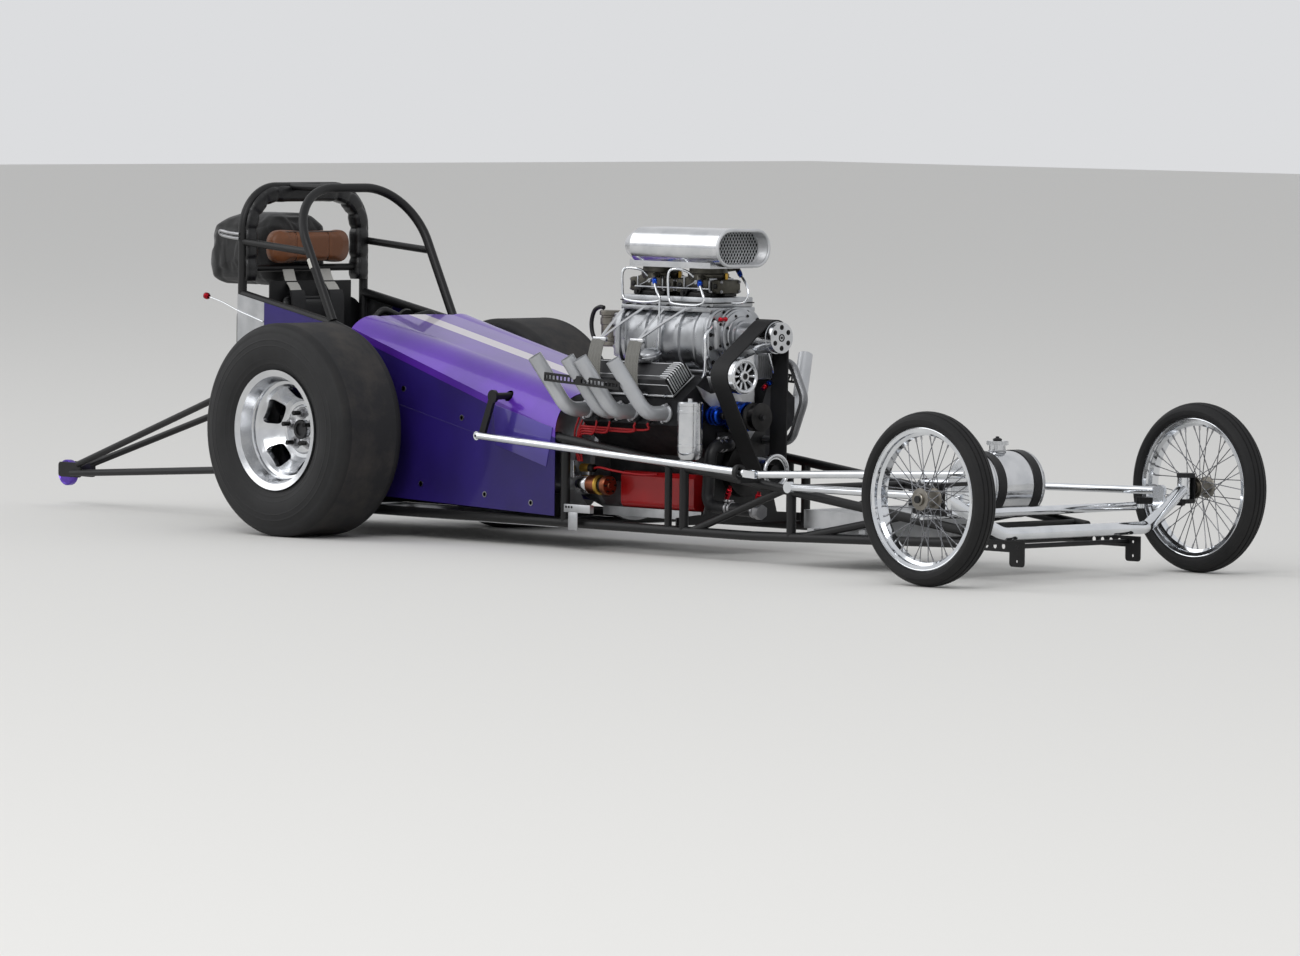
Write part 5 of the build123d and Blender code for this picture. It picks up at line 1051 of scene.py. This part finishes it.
bm = bmesh.new()
rows = []
rear, front, top, half = (coverSet[key] for key in ("rear", "front", "height", "half"))
for side in (-1, 1):
    for i in range(-4, 5):
        v = i * coverSet["finPitch"]
        level = top - (0 if abs(v) < 0.032 else 0.022 - math.sqrt(0.022 ** 2 - (abs(v) - 0.032) ** 2))
        fin = ((front - 0.04, level - 0.0005), (front - 0.004, level + 0.0005), (front + 0.0015, level - 0.005),
               (front + 0.0015, 0.012))
        addTube(bm, [onCover(x, v, w, side) for x, w in fin], 0.0027, 0, 8)
    for v in (-half, half):
        inner = v - math.copysign(0.0205, v)
        addTube(bm, [onCover(x, inner, top - 0.001, side) for x in (rear + 0.006, front - 0.004)], 0.0016, 0, 8)
        border = ((rear + 0.006, top - 0.022), (front, top - 0.022), (front, 0.008))
        addTube(bm, [onCover(x, v, w, side) for x, w in border], 0.0016, 0, 8)
    base = ((rear, -half - 0.001), (front + 0.003, -half - 0.001), (front + 0.003, half + 0.001), (rear, half + 0.001))
    addTube(bm, [onCover(x, v, 0.0045, side) for x, v in base], 0.0042, 0, 8, True)
    rows += [(onCover(rear + 0.03 + i * 0.092, -half - 0.0035, 0.0085, side), (0, -side * outward.y, outward.z), 0.0048)
             for i in range(5)]
finishPiece("coverFins", bm, ("finAluminium",))
bolts("coverBolts", rows, "chromePlate")
# breather cap standing on the near cover, and its twin
bm = bmesh.new()
for side in (-1, 1):
    addTurned(bm, ((16, 0, 18), (42, 21), (45, 25, 36), (42, 39, 44), (39, 50), (28, 56), (12, 59), (0, 59.5)),
              (1.404, side * 0.196, 0.632), (0, side * 0.25, 1), 0, 48)
finishPiece("breatherCaps", bm, ("satinAluminium",), angle=40)
print("valve covers ready")

# blower restraints: two arms to a buckle and a ribbed strap down to the head, on each side
bm = bmesh.new()
strap = {"offsets": ((0, 0.2, 0.712), (0.02, 0.228, 0.694), (0.06, 0.275, 0.66), (0.088, 0.306, 0.62), (0.1, 0.316, 0.58),
                     (0.104, 0.314, 0.548)),
         "half": 0.0195, "lean": -0.0125, "ends": (((-0.033, 0.033), (0.188, 0.2), (0.706, 0.722)),
                                                   ((0.082, 0.126), (0.262, 0.322), (0.532, 0.552)))}
for side in (-1, 1):
    for arms, low, strapX in (
        (((1.286, 0.12, 0.822), (1.182, 0.12, 0.812)), (1.152, 0.196, 0.712), 1.154),
        (((1.491, 0.12, 0.824), (1.379, 0.12, 0.816)), (1.336, 0.196, 0.712), 1.338),
    ):
        for x, y, z in arms:
            bar = [(x, side * y, z), (low[0] * 0.5 + x * 0.5, side * (y + low[1]) * 0.5, (z + low[2]) * 0.5 + 0.002),
                   (low[0], side * low[1], low[2])]
            addStrap(bm, bar, [(0.0085, 0, 0.006)] * 3, 0.006, 0)
        line = smoothLine([(strapX + x, side * y, z) for x, y, z in strap["offsets"]], 3)
        addStrap(bm, line, [(strap["half"], side * strap["lean"], 0)] * len(line), 0.005, 1)
        for share in (-0.75, -0.25, 0.25, 0.75):
            rib = [(p[0] + share * strap["half"], p[1] + side * (0.0022 + share * strap["lean"]), p[2] + 0.001)
                   for p in line]
            addTube(bm, rib, 0.0015, 1, 6)
        for (x0, x1), ys, (z0, z1) in strap["ends"]:
            y0, y1 = sorted(side * y for y in ys)
            addBox(bm, (strapX + x0, y0, z0), (strapX + x1, y1, z1), 0, 0.003)
finishPiece("blowerStraps", bm, ("polishedAluminium", "greyWebbing"))
print("straps ready")

# alternator, coolant canister, starter and magneto
accessories = {"alternator": (1.6405, -0.054, 0.471), "fuelPump": (1.6412, -0.137, 0.474),
               "canister": (1.693, -0.2838, 0.3258), "starter": (1.05, -0.22, 0.222),
               "solenoid": (1.098, -0.22, 0.277), "magneto": (1.068, 0, 0.65)}
accessoryLooks = ("castAluminium", "blueAnodised", "darkSteel", "copperBand", "brass", "redAnodised", "polishedAluminium",
                  "blackHose")
bm = bmesh.new()
place = accessories["alternator"]
addTurned(bm, ((44, 0), (48, 4, 22), (45, 24, 28), (49.5, 30, 40), (46, 42, 46), (49.5, 48, 58), (46, 60, 64),
               (49.5, 66, 92), (44, 98)), place, ahead, 1, 48)
addTurned(bm, ((30, 98, 112), (47, 113), (48, 115, 120), (40, 126, 150), (48, 154, 159), (46, 159.5)),
          place, ahead, 2, 48)
addTurned(bm, ((12, 0, 3), (9, 4, 12)), (1.8, place[1], place[2]), ahead, 7, 6)
# fuel pump in blue beside the front cover
addTurned(bm, ((30, 0), (32, 3, 12), (28, 14, 18), (32, 20, 30), (28, 32, 36), (32, 38, 48), (27, 53)),
          accessories["fuelPump"], ahead, 1, 40)
addTurned(bm, ((13, 53, 64), (10, 67)), accessories["fuelPump"], ahead, 2, 20)
place = accessories["canister"]
addTurned(bm, ((20, 0), (33, 6), (40, 16), (42.4, 30, 48), (43.2, 49, 57), (42.4, 58, 160), (43.2, 161, 169),
               (42.4, 170, 184), (43.4, 185, 194), (40, 198), (10, 200), (8, 202, 209), (0, 209.8)), place, aloft, 6, 48)
place = accessories["starter"]
for look, bands in (
    (0, ((19, 0), (24, 4, 30), (30, 36, 46))), (6, ((33, 46), (34, 48, 94), (33, 96))), (3, ((32.5, 96, 136),)),
    (4, ((34, 136, 142), (28, 146))), (2, ((24, 146, 166),)),
    (3, ((30, 166), (34, 169, 184), (31, 188), (12, 189), (10, 193))),
):
    addTurned(bm, bands, place, ahead, look, 40)
for spot in ringPoints((1.238, *place[1:]), 0.023, "x", 6):
    addTurned(bm, ((3.5, 0, 6),), spot, ahead, 2, 8)
addTurned(bm, ((13, 0), (15, 2, 40)), accessories["solenoid"], ahead, 4, 28)
addTurned(bm, ((13.5, 40, 60), (10, 62)), accessories["solenoid"], ahead, 2, 28)
addBox(bm, (1.108, -0.228, 0.25), (1.142, -0.212, 0.266), 0, 0.003)
addBox(bm, (1.052, -0.232, 0.226), (1.07, -0.208, 0.3), 6, 0.004)
place = accessories["magneto"]
addTurned(bm, ((30, 0), (36, 4, 26), (40, 30, 38), (36, 41, 66), (39, 68, 96), (36, 99, 106), (43.5, 108, 128), (41, 132),
               (36, 134, 143), (32, 147), (0, 149.5)), place, aloft, 0, 48)
addTube(bm, [(1.167, 0, 0.4985), (1.12, 0, 0.592), (1.086, 0, 0.658)], 0.0185, 0, 20)
addTurned(bm, ((30, 0, 16), (26, 19.5)), (1.167, 0, 0.4806), aloft, 2, 32)
addTube(bm, smoothLine([(0.985, -0.02, 0.812), (0.965, -0.02, 0.814), (0.938, -0.02, 0.8), (0.924, -0.02, 0.762),
                        (0.93, -0.02, 0.722), (0.95, -0.02, 0.698), (0.975, -0.018, 0.69)], 5), 0.0075, 7, 14)
finishPiece("engineAccessories", bm, accessoryLooks, replaced=("engine_accessories",), angle=30)

# pulleys: counterbored bolts, idler spokes and bright lips
topPulley, idler, crank = (1.8349, 0, 0.737), (-0.165, 0.611), (0, 0.29)
# the insides of the idler's and the crank pulley's recesses
paintFaces("blower_pulleys", (
    (lambda x, y, z: math.hypot(y - idler[0], z - idler[1]) < 0.0445 and 1.805 < x < 1.8265, "darkSteel"),
    (lambda x, y, z: math.hypot(y, z - crank[1]) < 0.0405 and x > 1.78, "darkSteel"),
))
bm = bmesh.new()
for spot in ringPoints(topPulley, 0.035, "x", 6, 0.5):
    addTurned(bm, ((8.8, 0, 0.6), (6, 0.8, 3), (3, 3, 1)), spot, ahead, 1, 20)
addTurned(bm, ((9, 0), (13, 0, 1.2), (9, 1.2)), topPulley, ahead, 1, 32, True)
# a flat dark steel disc in the middle: painted shade standing in for the pulley's centre hole
addTurned(bm, ((5, 0, 1),), topPulley, ahead, 1, 20)
for inner, outer in zip(*(ringPoints((1.8215, *idler), r, "x", 10) for r in (0.019, 0.046))):
    addTube(bm, [inner, outer], (0.0035, 0.0058), 0, 8)
addTurned(bm, ((11, 0), (19, 0, 4), (17, 6), (11, 6)), (1.8268, *idler), ahead, 0, 32, True)
addTurned(bm, ((10.5, 0, 2),), (1.8268, *idler), ahead, 1, 24)
for place, radius in (((1.8285, *idler), 0.0525), ((1.8145, *crank), 0.053)):
    addTube(bm, ringPoints(place, radius, "x", 64), 0.0066, 0, 12, True)
finishPiece("pulleyDetails", bm, ("polishedAluminium", "darkSteel"), angle=30)

# dark front cover and cover ends, black hose on the near side, and the hoses' clamps and fittings
paintFaces("engine_block", ((lambda x, y, z: x > 1.6402 and math.hypot(y, z - crank[1]) < 0.094, "darkSteel"),))
paintFaces("valve_covers", ((lambda x, y, z: x > 1.5785, "darkSteel"),))
paintFaces("hoses", ((lambda x, y, z: y < 0, "blackHose"),))
clampRing = ((21.2, 0), (22.8, 1, 9), (21.2, 10))
bm = bmesh.new()
hoseWay = (1, 0, -0.03)
for place, way in (
    ((1.655, -0.085, 0.375), ahead), ((1.79, -0.2, 0.1712), hoseWay), ((1.806, -0.2, 0.1708), hoseWay),
    ((1.915, -0.2, 0.1673), hoseWay), ((1.6985, -0.15, 0.3748), (0, -1, 0)), ((1.6985, -0.13, 0.375), (0, -1, 0)),
):
    addTurned(bm, clampRing, place, way, 0, 32, True)
    x, y, z = place
    addBox(bm, (x - 0.004, y - 0.012, z + 0.0215), (x + 0.01, y + 0.004, z + 0.029), 0, 0.001)
addTurned(bm, ((24, 0), (26, 4, 30)), (1.926, -0.2, 0.1668), hoseWay, 0, 6)
for place, way in (((1.739, -0.15, 0.21), (0.5, -0.2, 0.8)), ((1.895, -0.165, 0.196), (0.35, -0.1, 0.9))):
    addTurned(bm, ((8, -12, 0), (10, 1, 12), (8.5, 13, 17), (10, 18, 26), (7, 28, 36)), place, way, 1, 18)
finishPiece("hoseClamps", bm, ("machinedSteel", "redAnodised"), angle=30)

# breather can over the cowl's nose, held by two arms from the magneto
bm = bmesh.new()
addTurned(bm, ((26, 0), (32, 5, 18), (35, 20, 32), (32, 34, 74), (35, 76, 98), (32, 100, 106), (38, 108, 120), (34, 124),
               (0, 125)), (0.998, 0, 0.68), aloft, 0, 48)
addTube(bm, [(1.024, 0, 0.7), (1.036, 0, 0.7)], 0.01, 1, 14)
addTube(bm, [(1.024, 0, 0.77), (1.036, 0, 0.77)], 0.01, 1, 14)
finishPiece("breatherCan", bm, ("agedAluminium", "darkSteel"), angle=30)

# small lines and fittings at the front of the blower
frontLines = (
    ((1.62, -0.118, 0.77), (1.632, -0.158, 0.74), (1.634, -0.16, 0.69), (1.632, -0.16, 0.625), (1.616, -0.16, 0.59),
     (1.606, -0.162, 0.572), (1.625, -0.166, 0.56)),
    ((1.735, 0.02, 0.7), (1.742, 0.03, 0.68), (1.744, 0.045, 0.64), (1.738, 0.06, 0.61)),
)
wires("frontLines", [smoothLine(line, 5) for line in frontLines], 0.0055, "chromePlate", sides=10)
bm = bmesh.new()
addBox(bm, (1.7, -0.02, 0.594), (1.73, 0.07, 0.68), 0, 0.004)
for i in range(10):
    y = 0.0092 * i
    addBox(bm, (1.729, y - 0.018, 0.598), (1.74, y - 0.0145, 0.676), 0, 0.0006)
addBox(bm, (1.7, 0.005, 0.676), (1.708, 0.045, 0.702), 0, 0.001)
addPlate(bm, [(-0.215, 0.575), (-0.15, 0.545), (-0.06, 0.56), (-0.01, 0.53), (0.02, 0.47), (0.06, 0.42), (0.03, 0.385),
              (-0.06, 0.415), (-0.105, 0.47), (-0.18, 0.525)], (1.6475, 0, 0), (0, 1, 0), aloft, 0.006, 0, 0.001)
for place, way in (((1.7, -0.15, 0.56), (0.4, -0.25, -0.9)), ((1.742, 0.04, 0.585), (0.2, -0.9, -0.4))):
    addTurned(bm, fitting, place, way, 2, 6)
    addTurned(bm, fitting, Vector(place) + Vector(way).normalized() * 0.026, way, 1, 14)
finishPiece("frontFittings", bm, ("castAluminium", "redAnodised", "blueAnodised"), angle=30)
print("accessories ready")

# headers: bolted flanges, weld beads and the perforated bar that ties the pipes together
bm = bmesh.new()
rows = []
for side in (-1, 1):
    for x in (1.555, 1.394, 1.3315, 1.1705):
        flange = ((25.3, 0), (30, 0), (30.5, 1, 7), (29.5, 8), (25.3, 8))
        addTurned(bm, flange, (x, side * 0.2626, 0.48), (0, side, 0), 0, 40, True)
        addTube(bm, ringPoints((x, side * 0.2715, 0.48), 0.0262, "y", 40), 0.0022, 0, 8, True)
        rows += [((x + up * 0.35, side * 0.2706, 0.48 + up), (0, side, 0), 0.0052) for up in (-0.0275, 0.0275)]
finishPiece("headerFlanges", bm, ("whiteCeramicCoating",), angle=30)
bolts("headerBolts", rows, "machinedSteel")
tieBar = {"rear": (1.142, 0.592), "front": (1.512, 0.574), "y": 0.4375, "holes": 20, "edges": (0.0065, 0.015),
          "thickness": 0.003, "solid": 9, "webs": (0.00805, 0.021, 0.00266)}
bm = bmesh.new()
(x0, z0), (x1, z1) = tieBar["rear"], tieBar["front"]
long = math.hypot(x1 - x0, z1 - z0)
along = ((x1 - x0) / long, 0, (z1 - z0) / long)
inner, outer = tieBar["edges"]
strips = [(0, long, -outer, -inner), (0, long, inner, outer)]
for i in range(tieBar["holes"] + 1):
    # webs between the holes, wider at the ends and in the middle
    wide = tieBar["webs"][0 if i in (0, tieBar["holes"]) else (1 if i == tieBar["solid"] else 2)]
    middle = i * long / tieBar["holes"]
    strips.append((max(middle - wide, 0), min(middle + wide, long), -inner - 0.0001, inner + 0.0001))
for side in (-1, 1):
    for a, b, low, high in strips:
        addPlate(bm, [(a, low), (b, low), (b, high), (a, high)], (x0, side * tieBar["y"] + 0.001, z0), along,
                 (-along[2], 0, along[0]), tieBar["thickness"])
finishPiece("headerTieBars", bm, ("blackPowderCoat",), angle=30)

# plug and starter leads
redLeads = (
    ((1.098, -0.236, 0.3), (1.092, -0.246, 0.345), (1.094, -0.25, 0.4), (1.104, -0.24, 0.448)),
    ((1.106, -0.236, 0.3), (1.106, -0.249, 0.34), (1.11, -0.252, 0.395), (1.118, -0.238, 0.44)),
    ((1.114, -0.234, 0.3), (1.12, -0.247, 0.338), (1.124, -0.25, 0.385), (1.13, -0.236, 0.432)),
    ((1.16, -0.22, 0.277), (1.195, -0.228, 0.282), (1.26, -0.236, 0.276), (1.34, -0.238, 0.27), (1.42, -0.236, 0.268),
     (1.48, -0.23, 0.272)),
)
wires("redLeads", [smoothLine(line, 5) for line in redLeads], 0.0036, "redSilicone", sides=10)
plugLines, boots = [], []
for side in (-1, 1):
    for x in (1.235, 1.3, 1.425, 1.49):
        level = 0.396 + 0.008 * round((x - 1.235) / 0.085)
        lead = ((x, 0.28, 0.448), (x - 0.004, 0.284, level + 0.02), (x - 0.03, 0.274, level), (1.18, 0.264, level),
                (1.13, 0.258, level - 0.006), (1.108, 0.25, 0.35))
        plugLines.append(smoothLine([(px, side * py, pz) for px, py, pz in lead], 4))
        boots.append(((x, side * 0.2627, 0.46), (x - 0.001, side * 0.285, 0.446)))
wires("plugLeads", plugLines, 0.0038, "redSilicone", sides=8)
wires("plugBoots", boots, 0.0085, "blackHose", sides=12)
print("headers and leads ready")

# body: quarter-turn fasteners, the fairing behind the drag link, panel seams and the bracket under the rail
skinY = 0.3018  # the side panels' outer face
fasteners = ((0.28, 0.515), (0.58, 0.427), (0.373, 0.191), (0.933, 0.152), (0.06, 0.18), (0.7, 0.17))
rows = [((x, side * (skinY - 0.0001), z), (0, side, 0), 0.0072) for side in (-1, 1) for x, z in fasteners]
bolts("panelFasteners", rows, "machinedSteel", sides=20, height=0.25)
bm = bmesh.new()
fairing = [(0.737, 0.481), (1.039, 0.412), (1.009, 0.278), (0.757, 0.34)]
addPlate(bm, fairing, (0, -skinY, 0), ahead, aloft, 0.002, 0, 0.0008)
finishPiece("linkFairing", bm, ("fairingPaint",))
bm = bmesh.new()
for y in (-skinY, skinY):
    addTube(bm, [(0.21, y, 0.47), (0.606, y, 0.386), (1.046, y, 0.3)], 0.0009, 0, 6)
finishPiece("panelSeams", bm, ("indigoPaint",))
bm = bmesh.new()
addBox(bm, (1.116, -0.3195, 0.13), (1.246, -0.301, 0.158), 0, 0.002)
addBox(bm, (1.138, -0.3195, 0.07), (1.184, -0.316, 0.134), 0, 0.001)
for x in (1.128, 1.142, 1.156):
    addTurned(bm, ((4.5, 0, 0.6),), (x, -0.3194, 0.148), (0, -1, 0), 1, 14)
finishPiece("railBracket", bm, ("sheetAluminium", "darkSteel"), angle=30)
# white tape on the near leg of the front hoop
bm = bmesh.new()
legWay = Vector((-0.241, 0, 0.466)).normalized()
addTurned(bm, ((16, -18), (16.8, -17.5, 17.5), (16, 18)), (-0.222, -0.2838, 0.933), legWay, 0, 32, True)
finishPiece("hoopTape", bm, ("whiteTape",), angle=30)
# parachute release: cable with a red knob and a small tube loop on the hoop
bm = bmesh.new()
addTube(bm, smoothLine([(-0.778, -0.288, 0.801), (-0.7, -0.29, 0.784), (-0.6, -0.302, 0.757), (-0.53, -0.303, 0.739),
                        (-0.464, -0.303, 0.722)], 5), 0.0024, 0, 10)
addTurned(bm, ((0, -14), (8, -12), (12, -4, 6), (7, 12), (0, 13)), (-0.786, -0.288, 0.803), (-1, 0, 0.2), 1, 24)
addTube(bm, smoothLine([(-0.598, -0.3, 1.026), (-0.65, -0.304, 1.03), (-0.694, -0.304, 1.036), (-0.704, -0.3, 1.028),
                        (-0.694, -0.296, 1.02), (-0.65, -0.297, 1.014), (-0.598, -0.3, 1.01)], 5), 0.0055, 2, 12)
finishPiece("chuteRelease", bm, ("chromePlate", "redAnodised", "machinedSteel"), angle=40)

# tank: weld beads round the barrel and a knurled cap edge
tank = {"x": 2.847, "z": 0.294, "endY": 0.111, "bead": 0.1075, "neck": (0.4035, 0.0275), "capTop": 0.4358,
        "knurl": (28, 0.0342, 0.4235, 0.4345)}
bm = bmesh.new()
for y in (-tank["endY"], tank["endY"]):
    addTube(bm, ringPoints((tank["x"], y, tank["z"]), tank["bead"], "y", 96), 0.002, 0, 8, True)
addTube(bm, ringPoints((tank["x"], 0, tank["neck"][0]), tank["neck"][1], "z", 40), 0.0025, 0, 8, True)
finishPiece("tankWelds", bm, ("castAluminium",), angle=40)
bm = bmesh.new()
count, radius, low, high = tank["knurl"]
for foot, tip in zip(*(ringPoints((tank["x"], 0, z), radius, "z", count) for z in (low, high))):
    addTube(bm, [foot, tip], 0.002, 0, 6)
addTurned(bm, ((13, 0), (15, 2, 6), (10, 9), (6, 10, 14), (0, 15)), (tank["x"], 0, tank["capTop"]), aloft, 1, 32)
finishPiece("tankCapKnurl", bm, ("polishedAluminium", "blackPowderCoat"), angle=30)
# rivets round the panel behind the driver
panelBack = {"x": -0.6162, "y": 0.278, "low": 0.192, "top": 0.786, "corner": 0.062, "across": 7, "up": 9}
middleZ = (panelBack["low"] + panelBack["top"]) / 2
spreadZ = panelBack["top"] - middleZ - panelBack["corner"]
spreadY = panelBack["y"] - panelBack["corner"]
across = [spreadY * (2 * i / (panelBack["across"] - 1) - 1) for i in range(panelBack["across"])]
heights = [middleZ + spreadZ * (2 * i / (panelBack["up"] - 1) - 1) for i in range(panelBack["up"])]
spots = [(y, z) for y in across for z in (panelBack["low"], panelBack["top"])]
spots += [(y, z) for z in heights for y in (-panelBack["y"], panelBack["y"])]
rows = [((panelBack["x"], y, z), (-1, 0, 0), 0.0055) for y, z in spots]
bolts("panelRivets", rows, "machinedSteel", sides=14, height=0.4)
print("body details ready")


# camera: the photograph's own angle and a long lens
cameraSettings = {"place": (21.733, -20.11, 1.776), "forward": (-0.7258, 0.6859, -0.0524),
                  "up": (-0.0453, 0.0283, 0.9986), "lens": 239.04}
cameraData = bpy.data.cameras.new("camera")
cameraData.lens = cameraSettings["lens"]
cameraData.sensor_width = 36
cameraData.clip_end = 200
camera = bpy.data.objects.new("camera", cameraData)
bpy.context.scene.collection.objects.link(camera)
forward = Vector(cameraSettings["forward"]).normalized()
right = forward.cross(Vector(cameraSettings["up"])).normalized()
upward = right.cross(forward)
axes = Matrix((right, upward, -forward)).transposed().to_4x4()
camera.matrix_world = Matrix.Translation(cameraSettings["place"]) @ axes
bpy.context.scene.camera = camera

# floor and soft light
studio = {"floorColour": "#dcdbd8", "skyColour": "#e9eaec", "horizonColour": "#b4b6ba", "skyLight": 0.85,
          "backdropColour": "#dcdddf", "keyPower": 2080, "keySize": 12.0, "fillPower": 1200, "fillSize": 18.0}
floorMesh = bpy.data.meshes.new("floor")
half = 60
floorMesh.from_pydata([(-half, -half, 0), (half, -half, 0), (half, half, 0), (-half, half, 0)], [], [(0, 1, 2, 3)])
floor = bpy.data.objects.new("floor", floorMesh)
bpy.context.scene.collection.objects.link(floor)
tree, shader = newMaterial("paleFloor", {"Roughness": 0.85, "Specular IOR Level": 0.2})
shader.inputs["Base Color"].default_value = linear(studio["floorColour"])
floorMesh.materials.append(materials["paleFloor"])

world = bpy.data.worlds.new("studio")
bpy.context.scene.world = world
world.use_nodes = True
tree = world.node_tree
tree.nodes.clear()
facing = addNode(tree, "ShaderNodeTexCoord").outputs["Generated"]
height = addNode(tree, "ShaderNodeSeparateXYZ", {"Vector": facing}).outputs["Z"]
sky = mixColours(tree, remap(tree, height, -0.05, 0.55, 0, 1), studio["horizonColour"], studio["skyColour"])
rays = addNode(tree, "ShaderNodeLightPath")
light = addNode(tree, "ShaderNodeBackground", {"Color": sky, "Strength": studio["skyLight"]})
backdrop = addNode(tree, "ShaderNodeBackground", {"Color": linear(studio["backdropColour"]), "Strength": 1.0})
# the camera, metal and glass see the plain backdrop; the sky only lights
seen = rays.outputs["Is Camera Ray"]
for kind in ("Is Glossy Ray", "Is Transmission Ray"):
    seen = addNode(tree, "ShaderNodeMath", {0: seen, 1: rays.outputs[kind]}, operation="MAXIMUM").outputs[0]
mixed = addNode(tree, "ShaderNodeMixShader", {0: seen, 1: light.outputs[0], 2: backdrop.outputs[0]})
addNode(tree, "ShaderNodeOutputWorld", {"Surface": mixed.outputs[0]})

for lampName, place, target, power, size in (
    ("key", (12.0, -18.0, 16.0), (0.4, 0, 0.5), studio["keyPower"], studio["keySize"]),
    ("fill", (-14.0, -12.0, 12.0), (-0.5, 0, 0.4), studio["fillPower"], studio["fillSize"]),
):
    lampData = bpy.data.lights.new(lampName, "AREA")
    lampData.energy = power
    lampData.size = size
    lamp = bpy.data.objects.new(lampName, lampData)
    lamp.location = place
    lamp.rotation_euler = (Vector(target) - Vector(place)).to_track_quat("-Z", "Y").to_euler()
    bpy.context.scene.collection.objects.link(lamp)
bpy.context.scene.view_settings.view_transform = "Standard"
print("stage ready")
